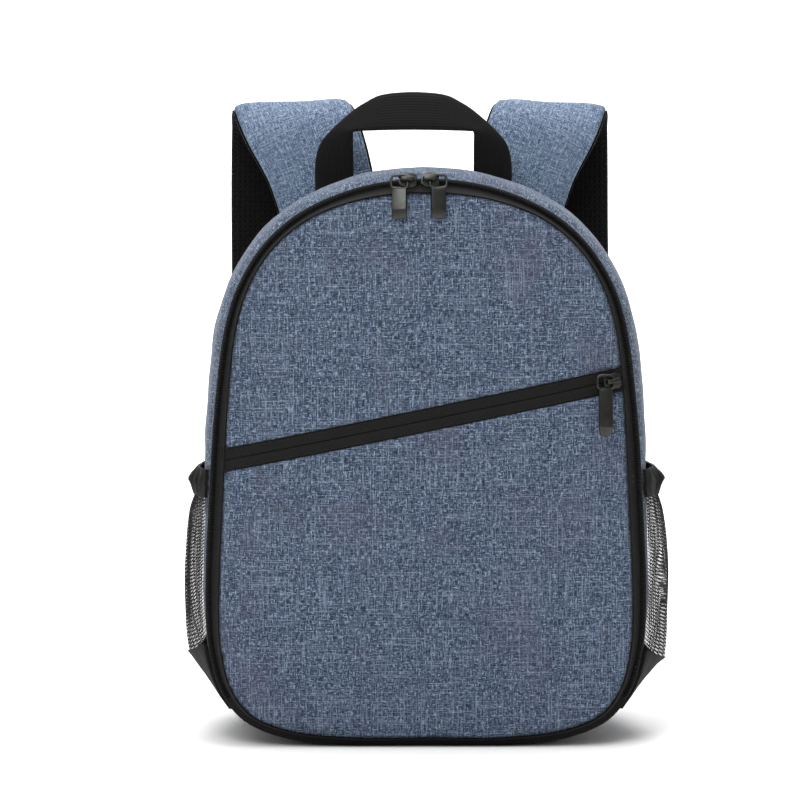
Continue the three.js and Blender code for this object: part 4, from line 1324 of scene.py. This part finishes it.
@dataclass
class ShoulderStraps:
    """Two padded shoulder straps with mesh linings, their webbing, locks and sewn tabs."""

    outline: Outline
    wardrobe: Wardrobe
    width: float = 66.0
    pad: float = 9.0
    lining: float = 1.6
    spread: float = 81.0
    crest: float = 364.0
    ease: float = 0.045  # the right strap bends in this much more
    loop: float = 46.0
    end: float = 112.0
    back_face: float = 60.3

    # across, back, up, wide, thick, turn
    ROWS = (
        (0.65, 0, 0.765, 0.8, 0.45, 21),
        (0.7, 0.01, 0.82, 0.86, 0.8, 21),
        (0.79, 0.06, 0.895, 0.92, 1, 17),
        (0.91, 0.24, 0.958, 1, 1, 8),
        (0.99, 0.6, 0.985, 1.02, 0.95, 1),
        (1.01, 0.9, 0.955, 1, 1, 0),
        (1.02, 1, 0.86, 1, 1, 0),
        (1.02, 0.98, 0.7, 1, 1, 0),
        (1.03, 0.9, 0.54, 0.97, 1, -2),
        (1.05, 0.78, 0.4, 0.85, 1, -4),
    )

    def _frames(self, count: int) -> tuple[Array, Array, Array, Array, Array, Array]:
        """Follow a right strap.

        Args:
            count: How many frames.

        Returns:
            Middle, width direction, outer direction, width, thickness and distance along.
        """
        rows = np.array([*self.ROWS, (1.08, 0.68, self.end / self.crest, 0.56, 0.75, -5)])
        foot = self.back_face + 0.3 + self.lining + 0.3 + self.pad / 2
        sizes = np.array([self.spread, self.loop, self.crest])
        knots = rows[:, :3] * sizes + np.array([0.0, foot, 0.0])
        spans = len(knots) - 1
        fine = centripetal(knots, False, 40)
        where = np.linspace(0, spans, count)
        key = np.linspace(0, spans, len(fine))
        middle = np.stack([np.interp(where, key, fine[:, i]) for i in range(3)], axis=-1)
        along = np.gradient(middle, axis=0)
        along /= np.linalg.norm(along, axis=1, keepdims=True)
        read = [np.interp(where, np.arange(spans + 1), rows[:, i]) for i in (3, 4, 5)]
        smooth = np.ones(9) / 9
        read = [np.convolve(np.pad(r, 4, mode="edge"), smooth, mode="valid") for r in read]
        turn = np.radians(read[2])
        wide = np.stack([np.cos(turn), np.zeros(count), -np.sin(turn)], axis=-1)
        wide -= along * np.sum(wide * along, axis=1, keepdims=True)
        wide /= np.linalg.norm(wide, axis=1, keepdims=True)
        outer = -np.cross(along, wide)
        run = np.concatenate([[0], np.cumsum(np.linalg.norm(np.diff(middle, axis=0), axis=1))])
        return middle, wide, outer, read[0] * self.width, read[1] * self.pad, run

    def build(self) -> None:
        """Build both straps."""
        for side in Side:
            self._pad(side)
            self._webbing(side)
            self._lock(side)

    def _mirror(self, points: Array, side: Side) -> Array:
        """Turn a right piece into the asked side's; the right one bends in a little more."""
        if side is Side.LEFT:
            return points * np.array([-1, 1, 1])
        low, high = self.end + 1.5, self.crest * 0.85
        share = np.clip((points[..., 2] - low) / (high - low), 0, 1)
        bent = points.copy()
        bent[..., 0] *= 1 - self.ease * share**2 * (3 - 2 * share)
        return bent

    def _pad(self, side: Side) -> None:
        """Build one padded strap and its lining."""
        count = 150
        middle, wide, outer, width, pad, run = self._frames(count)
        seed = 41 if side is Side.LEFT else 47
        half_a = np.array([0, 0.28, 0.55, 0.76, 0.88, 0.95, 0.985, 1.0])
        half_h = np.array([0.51, 0.5, 0.46, 0.39, 0.3, 0.2, 0.05, -0.18])
        top_a = np.concatenate([-half_a[:0:-1], half_a])
        top_h = np.concatenate([half_h[:0:-1], half_h])
        low_a = np.array([0.985, 0.93, 0.6, 0.0, -0.6, -0.93, -0.985])
        low_h = np.array([-0.34, -0.44, -0.5, -0.5, -0.5, -0.44, -0.34])
        a = np.concatenate([top_a, low_a])
        h = np.concatenate([top_h, low_h])
        reach = a[None, :] * width[:, None] / 2
        crease = 0.5 * smooth_noise(run[:, None] / 42 + 0 * reach, reach / 34, seed)
        crease *= (np.abs(a) < 0.9)[None, :] * (h > 0)[None, :]
        edge = 0.3 * np.sin(run[:, None] / 1.6 + reach) * ((np.abs(a) > 0.7) & (h > 0))[None, :]
        dip = -0.5 * np.exp(-(((np.abs(a) - 0.88) / 0.05) ** 2)) * (h > 0)
        level = h[None, :] * pad[:, None] + crease + edge * 0.5 + dip[None, :]
        points = middle[:, None] + wide[:, None] * reach[..., None]
        points = points + outer[:, None] * level[..., None]
        over, under = (top_a + 1) * self.width / 2, self.width + 3 + (1 - low_a) * 33
        around = np.concatenate([over, under, [136]])
        uv = cloth_grid(run, around)[..., ::-1]
        piece = lofted(f"strap_cloth_{side.word}", self._mirror(points, side), uv)
        # the strap cloth uses the lighter copy of the canvas: painted light
        finish_piece(
            piece, self.wardrobe.strap_canvas, nodes=[f"strap_pad_{side.word}"]
        )
        flip = np.array([side.value, 1, 1])
        for label, column in (("inner", 3), ("outer", 11)):
            row = self._mirror(points[5:-3, column], side)
            name = f"strap_stitches_{label}_{side.word}"
            stitch_row(name, row, outer[5:-3] * flip, self.wardrobe.thread)

        in_a = np.array([1.008, 1.005, 0.96, 0.9, 0.5, 0, -0.5, -0.9, -0.96, -1.005, -1.008])
        in_h = np.array([-0.16, -0.3, -0.42, -0.5, -0.53, -0.54, -0.53, -0.5, -0.42, -0.3, -0.16])
        thick = np.array([0.4, 1.0, 1.4, 1.6, 1.6, 1.6, 1.6, 1.6, 1.4, 1.0, 0.4])
        reach = in_a[None, :] * width[:, None] / 2
        rise = in_h[None, :] * pad[:, None]
        skin = middle[:, None] + wide[:, None] * (reach + np.sign(in_a) * 0.3)[..., None]
        skin = skin + outer[:, None] * (rise - 0.3)[..., None]
        sideways = np.sign(in_a) * (np.abs(in_a) > 0.93)
        away = np.stack([sideways, np.where(np.abs(in_a) < 1.006, -1.0, 0.0)], axis=-1)
        away /= np.maximum(np.linalg.norm(away, axis=1, keepdims=True), 1e-6)
        out = wide[:, None] * away[None, :, :1] + outer[:, None] * away[None, :, 1:]
        under = skin + out * thick[None, :, None]
        points = np.concatenate([skin, under[:, ::-1]], axis=1)
        around = np.concatenate([(1 - in_a) * 33, 70 + (1 + in_a) * 33, [140]])
        uv = cloth_grid(run, around)[..., ::-1]
        piece = lofted(f"strap_mesh_{side.word}", self._mirror(points, side), uv)
        finish_piece(piece, self.wardrobe.spacer, nodes=[f"strap_lining_{side.word}"])

    def _webbing(self, side: Side) -> None:
        """Build one side's webbing from its tab, round the lock's bar to a free tail."""
        middle, *_ = self._frames(60)
        x, y = float(middle[-1, 0]), float(middle[-1, 1])
        lock_top = self.end - 0.3 - 1.5
        bar = lock_top - 4.4 - 6
        turn = 3.6 / 2 + 0.3 + 0.75
        low = self.back_face + 0.3 + 3 + 0.3 + 0.75
        tab_x, tab_z = 98.0, 42.0
        route = [
            (tab_x + 3, low, tab_z - 8),
            (tab_x + 1, low, tab_z + 3),
            (tab_x, low + 0.5, tab_z + 14),
            ((tab_x + x) / 2, (low + y - turn) / 2, tab_z + (bar - tab_z) * 0.55),
            (x + 1, y - turn - 1.2, bar - 13),
            (x, y - turn, bar - 3),
        ]
        for k in range(5):
            angle = k * math.pi / 4
            route.append((x, y - math.cos(angle) * turn, bar + 0.3 + math.sin(angle) * 1.35))
        route += [
            (x, y + turn, bar - 4),
            (x + 0.5, y + turn + 1.5, bar - 29),
            (x + 2, y + turn + 1, bar - 58),
        ]
        line = centripetal(np.array(route), False, 8)
        along = np.gradient(line, axis=0)
        along /= np.linalg.norm(along, axis=1, keepdims=True)
        wide = np.tile([1.0, 0, 0], (len(line), 1))
        wide -= along * np.sum(wide * along, axis=1, keepdims=True)
        wide /= np.linalg.norm(wide, axis=1, keepdims=True)
        face = np.cross(along, wide)
        a = np.array([-1, -0.97, -0.9, 0, 0.9, 0.97, 1, 1, 0.97, 0.9, 0, -0.9, -0.97, -1]) * 12.4
        h = np.array([0.15, 0.45, 0.7, 0.7, 0.7, 0.45, 0.15])
        h = np.concatenate([h, -h])
        points = line[:, None] + wide[:, None] * a[None, :, None] + face[:, None] * h[None, :, None]
        run = np.concatenate([[0], np.cumsum(np.linalg.norm(np.diff(line, axis=0), axis=1))])
        uv = cloth_grid(run, np.append(np.arange(14) * 3.6, 52))
        piece = lofted(f"strap_webbing_{side.word}", self._mirror(points, side), uv)
        node = f"webbing_{side.word}"
        finish_piece(piece, self.wardrobe.webbing, nodes=[node], sharp=70)

    def _lock(self, side: Side) -> None:
        """Round the ladder lock's and the tab's edges."""
        lock = rounded_copy(f"ladder_lock_{side.word}", f"strap_lock_{side.word}", 0.7)
        finish_piece(
            lock, self.wardrobe.plastic, nodes=[f"ladder_lock_{side.word}"]
        )
        tab = rounded_copy(f"strap_tab_{side.word}", f"lower_tab_{side.word}", 0.6)
        finish_piece(tab, self.wardrobe.trim, nodes=[f"strap_tab_{side.word}"])


def rounded_copy(node: str, name: str, radius: float) -> bpy.types.Object:
    """Copy a CAD node and round its edges.

    Args:
        node: The CAD node.
        name: The new piece's name.
        radius: Rounding in millimetres.

    Returns:
        The new piece, with cloth coordinates taken from the front or back.
    """
    source = frame_nodes()[node]
    mesh = source.data.copy()
    mesh.name = name
    obj = bpy.data.objects.new(name, mesh)
    obj.matrix_world = Matrix.Identity(4)
    mesh.transform(source.matrix_world)
    bpy.context.scene.collection.objects.link(obj)
    turn_outwards(mesh, merge=True)
    with_modifier(
        obj,
        "BEVEL",
        width=radius * MM,
        segments=3,
        limit_method="ANGLE",
        angle_limit=math.radians(28),
    )
    seen_from(obj, (0, 2))
    return obj


def frame_nodes() -> dict[str, bpy.types.Object]:
    """Give the CAD nodes' objects by name."""
    return FRAME["nodes"]


FRAME: dict[str, Any] = {}


# Side pockets


# how each pocket stands off the bag, which differs a little from side to side
POCKET_FIT: dict[Side, dict[str, float]] = {
    Side.LEFT: {"swell": 10.6, "foot_share": 1.15, "hem_share": 0.72},
    Side.RIGHT: {"swell": 11.8, "net_foot": 43.5, "foot_share": 1.28, "hem_share": 0.8},
}


@dataclass
class SidePocket:
    """One net side pocket: an open net, a gathered elastic hem and a cloth floor."""

    outline: Outline
    wardrobe: Wardrobe
    side: Side
    front: float = 1.2
    back: float = 44.0
    swell: float = 9.4
    foot_share: float = 1.15  # how far the foot stands off, against the swell
    hem_share: float = 0.7  # and the hem
    net_foot: float = 47.5
    net_lift: float = 9.0
    hem_foot: float = 137.5
    hem_height: float = 15.5
    floor_foot: float = 20.0
    reach: float = 52.0  # half the cloth's length round the pocket
    sewn: float = 1.3  # how far the net runs into the hem and the floor
    mesh: float = 2.1  # spacing of the net's holes
    strand: float = 0.8  # share of a cell that its hole takes

    def _skin(self, s: Array, z: Array, out: Array, clearance: float) -> Array:
        """Place points on a wall that stands off the gusset.

        Args:
            s: From -1 at the front seam to 1 at the back seam.
            z: Heights.
            out: Shares of the pocket's swell.
            clearance: Millimetres off the gusset at the seams.

        Returns:
            The places.
        """
        front = self.outline.front(z)
        y = front + self.front + (self.back - front - self.front) * (s + 1) / 2
        deep = (y - front) / (self.outline.depth / 2 - front)
        peak = -0.42
        ahead = (s + 1) / (peak + 1)
        behind = (1 - s) / (1 - peak)
        sharp = np.minimum(ahead, behind)
        plan = 0.06 + 0.94 * (sharp - 0.06 * np.exp(-((np.abs(s - peak) / 0.16) ** 2)))
        x = self.outline.half_width(z.ravel(), deep.ravel()).reshape(z.shape)
        x = x + clearance + self.swell * out * plan
        return np.stack([x * self.side.value, y, z], axis=-1)

    def build(self) -> None:
        """Build the pocket's three pieces."""
        self._net()
        self._hem()
        self._floor()

    def _wall(
        self, name: str, rows: Array, lift: float, cloth: float, ripple: Ripple
    ) -> bpy.types.Object:
        """Build a closed cloth wall.

        Args:
            name: The piece's name.
            rows: Height and share of the swell, one row each.
            lift: How much the lowest row climbs towards the seams.
            cloth: Thickness.
            ripple: Gives extra standing off from (s, rows' index share).

        Returns:
            The piece.
        """
        s = np.linspace(-1, 1, 90)
        grid_s, grid_z = np.meshgrid(s, rows[:, 0], indexing="ij")
        grid_o = np.tile(rows[:, 1], (len(s), 1))
        share = np.tile(np.linspace(0, 1, len(rows)), (len(s), 1))
        grid_z = grid_z + lift * grid_s**2 * (1 - share if name.startswith("net") else share)
        extra = ripple(grid_s, share)
        outer = self._skin(grid_s, grid_z, grid_o, 0.3 + cloth)
        outer[..., 0] += extra * self.side.value
        inner = self._skin(grid_s, grid_z, grid_o, 0.3)
        inner[..., 0] += extra * self.side.value
        points = np.concatenate([outer, inner[:, ::-1]], axis=1)
        high = np.concatenate([rows[:, 0], 2 * rows[-1, 0] - rows[::-1, 0] + 2, [0.0]])
        return lofted(name, points, cloth_grid(s * self.reach, high))

    def _hem(self) -> None:
        """Build the gathered elastic hem."""
        rows = np.array(
            [
                (0, 0.66),
                (0.06, 0.7),
                (0.2, 0.78),
                (0.38, 0.9),
                (0.5, 0.97),
                (0.6, 0.94),
                (0.76, 0.74),
                (0.88, 0.54),
                (0.96, 0.42),
                (1.0, 0.38),
            ]
        )
        rows[:, 0] = self.hem_foot + rows[:, 0] * self.hem_height
        rows[:, 1] *= self.hem_share
        seed = 3 if self.side is Side.LEFT else 6

        def ripple(s: Array, share: Array) -> Array:
            """Give how far the cloth waves out at each point."""
            fold = np.sin(s * 34 + 2.4 * smooth_noise(s * 2.2, share, seed))
            depth = 0.9 * (1 - np.abs(s) ** 6) * (0.35 + np.sin(math.pi * share) ** 2)
            band = 0.5 * np.exp(-(((share - 0.3) / 0.05) ** 2))
            return fold * depth - band

        hem = self._wall(f"hem_elastic_{self.side.word}", rows, 0, 1.7, ripple)
        finish_piece(hem, self.wardrobe.trim, nodes=[f"side_hem_{self.side.word}"])

    def _floor(self) -> None:
        """Build the cloth floor."""
        rows = [(0, 0.1), (0.15, 0.22), (0.3, 0.36), (0.62, 0.66), (0.85, 0.92)]
        rows = np.array([*rows, (1.0, self.foot_share)])
        rows[:, 0] = self.floor_foot + rows[:, 0] * (self.net_foot - 0.15 - self.floor_foot)

        def ripple(s: Array, share: Array) -> Array:
            """Give how far the cloth waves out at each point."""
            return 0.25 * np.sin(s * 21 + share * 3) * np.sin(math.pi * share)

        floor = self._wall(f"pocket_floor_{self.side.word}", rows, self.net_lift, 1.6, ripple)
        node = f"side_floor_{self.side.word}"
        finish_piece(floor, self.wardrobe.trim, nodes=[node])

    def _net(self) -> None:
        """Grow the open net from a sheet of hexagons and lay it over the pocket's shape."""
        high = self.hem_foot - self.net_foot
        wide = 2 * self.reach
        obj = path_object(f"net_{self.side.word}", np.zeros((2, 3)), np.zeros((2, 3)))
        group = hexagon_net("net_of_hexagons", self.wardrobe.net)
        values = {
            "Width": wide * MM,
            "Height": (high + 2) * MM,
            "Columns": int(wide / self.mesh),
            "Rows": int(high / (self.mesh * 0.92)),
            "Hole": self.strand,
            "Thickness": 0.22 * MM,
        }
        grown(obj, group, values)
        mesh = obj.data
        flat = np.zeros(len(mesh.vertices) * 3, dtype=np.float32)
        mesh.vertices.foreach_get("co", flat)
        flat = flat.reshape(-1, 3).astype(float) / MM
        s = np.clip(flat[:, 0] / (wide / 2), -1, 1)
        up = np.clip(flat[:, 1] / (high + 2) + 0.5, 0, 1)
        top = 0.66 * self.hem_share
        profile = [(0, self.foot_share), (0.25, 1.06), (0.55, 1.02), (0.85, 0.86), (1, top)]
        profile = np.array(profile)
        curve = centripetal(profile, False, 10)
        foot = self.net_foot + self.net_lift * s**2 - self.sewn
        z = foot + (self.hem_foot + self.sewn - foot) * up
        wave = 0.7 * smooth_noise(s * 1.6, up * 1.3, 15 + self.side.value)
        wave *= np.sin(math.pi * up) * (1 - np.abs(s) ** 6)
        skin = self._skin(s, z, np.interp(up, curve[:, 0], curve[:, 1]), 0.7)
        skin[:, 0] += (flat[:, 2] + wave) * self.side.value
        mesh.vertices.foreach_set("co", (skin * MM).astype(np.float32).ravel())
        mesh.update()
        if self.side is Side.LEFT:
            mesh.flip_normals()
        seen_from(obj, (1, 2))
        finish_piece(obj, self.wardrobe.net, nodes=[f"side_net_{self.side.word}"])


def hexagon_net(name: str, material: bpy.types.Material) -> bpy.types.NodeTree:
    """Build a tree that makes a flat net of hexagonal holes.

    Args:
        name: The tree's name.
        material: What the net is made of.

    Returns:
        The tree, with inputs Width, Height, Columns, Rows, Hole and Thickness.
    """
    sizes = {"Width": "Float", "Height": "Float", "Columns": "Int", "Rows": "Int"}
    group, given = open_tree(name, {**sizes, "Hole": "Float", "Thickness": "Float"})
    grid = add_node(
        group,
        "GeometryNodeMeshGrid",
        {
            "Size X": given["Width"],
            "Size Y": given["Height"],
            "Vertices X": given["Columns"],
            "Vertices Y": given["Rows"],
        },
    )
    split = add_node(
        group, "GeometryNodeTriangulate", {0: grid.outputs[0]}, quad_method="FIXED"
    )
    cells = add_node(group, "GeometryNodeDualMesh", {"Mesh": split.outputs[0]})
    again = add_node(
        group,
        "GeometryNodeExtrudeMesh",
        {"Mesh": cells.outputs[0], "Offset Scale": 0.0, "Individual": True},
        mode="FACES",
    )
    shrunk = {
        "Geometry": again.outputs["Mesh"],
        "Selection": again.outputs["Top"],
        "Scale": given["Hole"],
    }
    holes = add_node(group, "GeometryNodeScaleElements", shrunk, domain="FACE")
    net = add_node(
        group,
        "GeometryNodeDeleteGeometry",
        {"Geometry": holes.outputs[0], "Selection": again.outputs["Top"]},
        domain="FACE",
    )
    joined = add_node(
        group, "GeometryNodeMergeByDistance", {"Geometry": net.outputs[0], "Distance": 1e-6}
    )
    thick = add_node(
        group,
        "GeometryNodeExtrudeMesh",
        {"Mesh": joined.outputs[0], "Offset Scale": given["Thickness"], "Individual": False},
        mode="FACES",
    )
    back = add_node(group, "GeometryNodeFlipFaces", {"Mesh": joined.outputs[0]})
    both = add_node(group, "GeometryNodeJoinGeometry")
    group.links.new(thick.outputs["Mesh"], both.inputs[0])
    group.links.new(back.outputs[0], both.inputs[0])
    closed = add_node(
        group, "GeometryNodeMergeByDistance", {"Geometry": both.outputs[0], "Distance": 1e-6}
    )
    close_tree(group, closed.outputs[0], material)
    return group


# Zip sliders and pulls


@dataclass
class ZipSlider:
    """A metal slider and its pull: a wire ring with a chunky tab cast onto it."""

    wardrobe: Wardrobe
    label: str  # the slider's CAD node
    pull: str  # the pull's CAD node, and its body
    body: str
    pivot: tuple[float, float, float]
    up: tuple[float, float, float]
    out: tuple[float, float, float]
    side: int  # -1 where the pull lies to the left of its slider
    tab: float = 16.0
    ring_width: float = 10.6
    ring_height: float = 9.4
    wire: float = 1.6
    tab_width: float = 8.3
    blunt: float = 0.9  # width left at the tab's end
    clear: float = 0.3
    twist: float = 0.0  # degrees that the tab is turned on its ring

    def _axes(self) -> Matrix:
        """Give the pull's axes: along the zip, up and out, about its pivot."""
        b = Vector(self.up).normalized()
        c = Vector(self.out).normalized()
        a = b.cross(c).normalized()
        c = a.cross(b)
        frame = Matrix((a, b, c)).transposed().to_4x4()
        frame.translation = Vector(self.pivot)
        return frame

    def build(self) -> None:
        """Build the slider and the pull."""
        slider = rounded_copy(self.label, f"{self.label}_metal", 0.35)
        finish_piece(slider, self.wardrobe.metal, nodes=[self.label])
        pull = self._pull()
        finish_piece(
            pull, self.wardrobe.metal, body=self.body, nodes=[self.pull], sharp=35
        )

    def _pull(self) -> bpy.types.Object:
        """Build the ring and the tab as one casting."""
        top = 1.1 + self.clear + self.wire
        foot = top - self.ring_height
        middle = self.side * (self.ring_width / 2 - self.wire / 2)
        half = self.ring_width / 2 - self.wire / 2
        corner = 2.2
        centre: list[tuple[float, float]] = []
        high, low = top - self.wire / 2, foot + self.wire / 2 + 0.4
        for cx, cy, start in (
            (half - corner, high - corner, 0),
            (-half + corner, high - corner, 90),
            (-half + corner, low + corner, 180),
            (half - corner, low + corner, 270),
        ):
            for k in range(5):
                angle = math.radians(start + k * 22.5)
                x, y = cx + math.cos(angle) * corner, cy + math.sin(angle) * corner
                centre.append((middle + x, y))
        path = np.array(centre)
        ahead = np.roll(path, -1, axis=0) - np.roll(path, 1, axis=0)
        ahead /= np.linalg.norm(ahead, axis=1, keepdims=True)
        side = np.stack([ahead[:, 1], -ahead[:, 0]], axis=-1)
        turns = np.linspace(0, 2 * math.pi, 10, endpoint=False)
        points = np.zeros((len(path), 10, 3))
        for j, turn in enumerate(turns):
            points[:, j, :2] = path + side * math.cos(turn) * self.wire / 2
            points[:, j, 2] = math.sin(turn) * 0.95
        ring = lofted(self.pull + "_casting", points, plain_uv(len(path) + 1, 11, 30, 5), ring=True)

        # the tab: distance from its head, half width, and its front and back
        end = self.tab + 0.9
        half = self.tab_width / 2
        shape = [
            (0.0, half * 0.8, 0.75, -0.75),
            (0.3, half * 0.94, 1.0, -0.9),
            (1.2, half, 1.15, -0.95),
            (end * 0.5, half, 1.35, -0.95),
            (end - 5.2, half, 1.7, -0.95),
            (end - 4.4, half * 0.99, 1.65, -0.95),
            (end - 1.2, half * (0.6 + 0.4 * self.blunt), 0.35, -0.95),
            (end, half * self.blunt, -0.25, -0.85),
        ]
        turn = math.radians(self.twist)
        blocks = np.zeros((len(shape), 8, 3))
        for r, (run, w, front, back) in enumerate(shape):
            cut = 0.35
            section = [
                (w - cut, front),
                (w, front - cut),
                (w, back + cut),
                (w - cut, back),
                (cut - w, back),
                (-w, back + cut),
                (-w, front - cut),
                (cut - w, front),
            ]
            blocks[r, :, 0] = [middle + x * math.cos(turn) - y * math.sin(turn) for x, y in section]
            blocks[r, :, 1] = foot + 0.9 - run
            blocks[r, :, 2] = [0.35 + x * math.sin(turn) + y * math.cos(turn) for x, y in section]
        tab = lofted(self.pull + "_tab", blocks, plain_uv(len(shape), 9, end, 20))
        work = bmesh.new()
        work.from_mesh(ring.data)
        work.from_mesh(tab.data)
        work.to_mesh(ring.data)
        work.free()
        bpy.data.objects.remove(tab)
        frame = self._axes()
        frame.translation = frame.translation * MM
        ring.data.transform(frame)
        with_modifier(
            ring,
            "BEVEL",
            width=0.12 * MM,
            segments=2,
            limit_method="ANGLE",
            angle_limit=math.radians(25),
        )
        return ring


# Inside


@dataclass
class Inside:
    """The lining, dividers and inner pocket, which keep their CAD shapes."""

    wardrobe: Wardrobe

    def build(self) -> None:
        """Dress the inside's nodes."""
        for name, node in frame_nodes().items():
            if name.startswith(("divider", "shelf", "flap_pad", "flap_inner_pocket")):
                self._dress(node, self.wardrobe.lining)

    @staticmethod
    def _dress(node: bpy.types.Object, material: bpy.types.Material) -> None:
        """Give a node its material."""
        for slot in node.material_slots:
            slot.material = material


# Studio


@dataclass
class Studio:
    """Camera, pale floor and soft lights, as the photograph has them."""

    target: tuple[float, float, float] = (0.0, 0.0, 0.170)
    distance: float = 1.566
    elevation: float = 3.8
    azimuth: float = 0.4
    focal_px: float = 2746.6
    centre_px: tuple[float, float] = (425.3, 433.3)

    def build(self) -> None:
        """Build the studio."""
        self._camera()
        self._floor()
        self._lights()

    def _camera(self) -> None:
        """Place the camera so that the bag fills the frame as in the photograph."""
        data = bpy.data.cameras.new("camera")
        camera = bpy.data.objects.new("camera", data)
        bpy.context.scene.collection.objects.link(camera)
        bpy.context.scene.camera = camera
        e, a = math.radians(self.elevation), math.radians(self.azimuth)
        away = Vector((-math.sin(a) * math.cos(e), -math.cos(a) * math.cos(e), math.sin(e)))
        camera.location = Vector(self.target) + away * self.distance
        camera.rotation_euler = (-away).to_track_quat("-Z", "Y").to_euler()
        data.sensor_width = 36.0
        data.lens = self.focal_px / 800 * 36.0
        data.shift_x = (400 - self.centre_px[0]) / 800
        data.shift_y = (self.centre_px[1] - 400) / 800
        data.clip_end = 50.0

    def _floor(self) -> None:
        """Sweep a pale paper floor up into a backdrop."""
        bend = 1.2
        profile = [(-6.0, 0.0), (1.6, 0.0)]
        for turn in np.linspace(0.1, math.pi / 2, 12):
            profile.append((1.6 + bend * math.sin(turn), bend - bend * math.cos(turn)))
        profile += [(2.8, 5.0)]
        points = np.array([[(x * 1000, y * 1000, z * 1000) for x in (-6, 6)] for y, z in profile])
        floor = lofted("paper_floor", points, plain_uv(len(profile), 2, 10, 10), tube=False)
        material = bpy.data.materials.new("paper_white_matt")
        material.use_nodes = True
        shader = material.node_tree.nodes["Principled BSDF"]
        shader.inputs["Base Color"].default_value = linear("#fbfbfb")
        shader.inputs["Roughness"].default_value = 0.9
        shader.inputs["Specular IOR Level"].default_value = 0.1
        floor.data.materials.append(material)
        floor.data.shade_smooth()

    def _lights(self) -> None:
        """Hang the soft lights."""
        world = bpy.data.worlds.new("studio")
        bpy.context.scene.world = world
        bpy.context.scene.view_settings.view_transform = "Standard"
        world.use_nodes = True
        back = world.node_tree.nodes["Background"]
        back.inputs[0].default_value = (1, 1, 1, 1)
        back.inputs[1].default_value = 0.38
        for name, place, aim, size, power in (
            ("key", (-0.8, -1.7, 2.0), (0, 0, 0.2), 1.2, 19.0),
            ("lamp", (-0.15, -0.8, 0.95), (0, 0, 0.32), 0.5, 2.6),
            ("top", (0.0, 0.1, 2.3), (0, 0, 0), 2.2, 58.0),
            ("backdrop", (0.0, 1.3, 2.3), (0, 2.8, 0.9), 2.0, 60.0),
        ):
            data = bpy.data.lights.new(name, "AREA")
            data.size = size
            data.energy = power
            light = bpy.data.objects.new(name, data)
            light.location = place
            light.rotation_euler = (Vector(aim) - Vector(place)).to_track_quat("-Z", "Y").to_euler()
            bpy.context.scene.collection.objects.link(light)


def build_pulls(wardrobe: Wardrobe) -> None:
    """Build the three sliders and their pulls, about the joints' places and axes.

    Args:
        wardrobe: The bag's materials.
    """
    tilt = math.radians(15)
    up, out = (0, math.sin(tilt), math.cos(tilt)), (0, -math.cos(tilt), math.sin(tilt))
    for word, pivot, side, twist in (
        ("left", (-10.031, -53.483, 312.909), -1, 14),
        ("right", (2.219, -53.474, 313.24), 1, -16),
    ):
        ZipSlider(
            wardrobe,
            label=f"main_slider_{word}",
            pull=f"main_pull_{word}",
            body=f"main_{word}_pull",
            pivot=pivot,
            up=up,
            out=out,
            side=side,
            twist=twist,
        ).build()
    ZipSlider(
        wardrobe,
        label="pocket_slider",
        pull="pocket_pull",
        body="pocket_pull",
        pivot=(102.449, -60.910, 202.623),
        up=(0, 0.093429, 0.995626),
        out=(0.243227, -0.965727, 0.090624),
        side=-1,
        tab=24.5,
        tab_width=7.8,
        blunt=0.6,
        clear=1.1,
    ).build()


def main() -> None:
    """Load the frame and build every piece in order."""
    logging.basicConfig(level=logging.INFO, format="%(message)s")
    FRAME.update(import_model())
    Studio().build()
    outline = Outline()
    wardrobe = Wardrobe()
    Body(outline, wardrobe).build()
    Flap(outline, wardrobe).build()
    CarryHandle(outline, wardrobe).build()
    ShoulderStraps(outline, wardrobe).build()
    for side in Side:
        SidePocket(outline, wardrobe, side, **POCKET_FIT[side]).build()
    build_pulls(wardrobe)
    Inside(wardrobe).build()


if __name__ == "__main__":
    main()
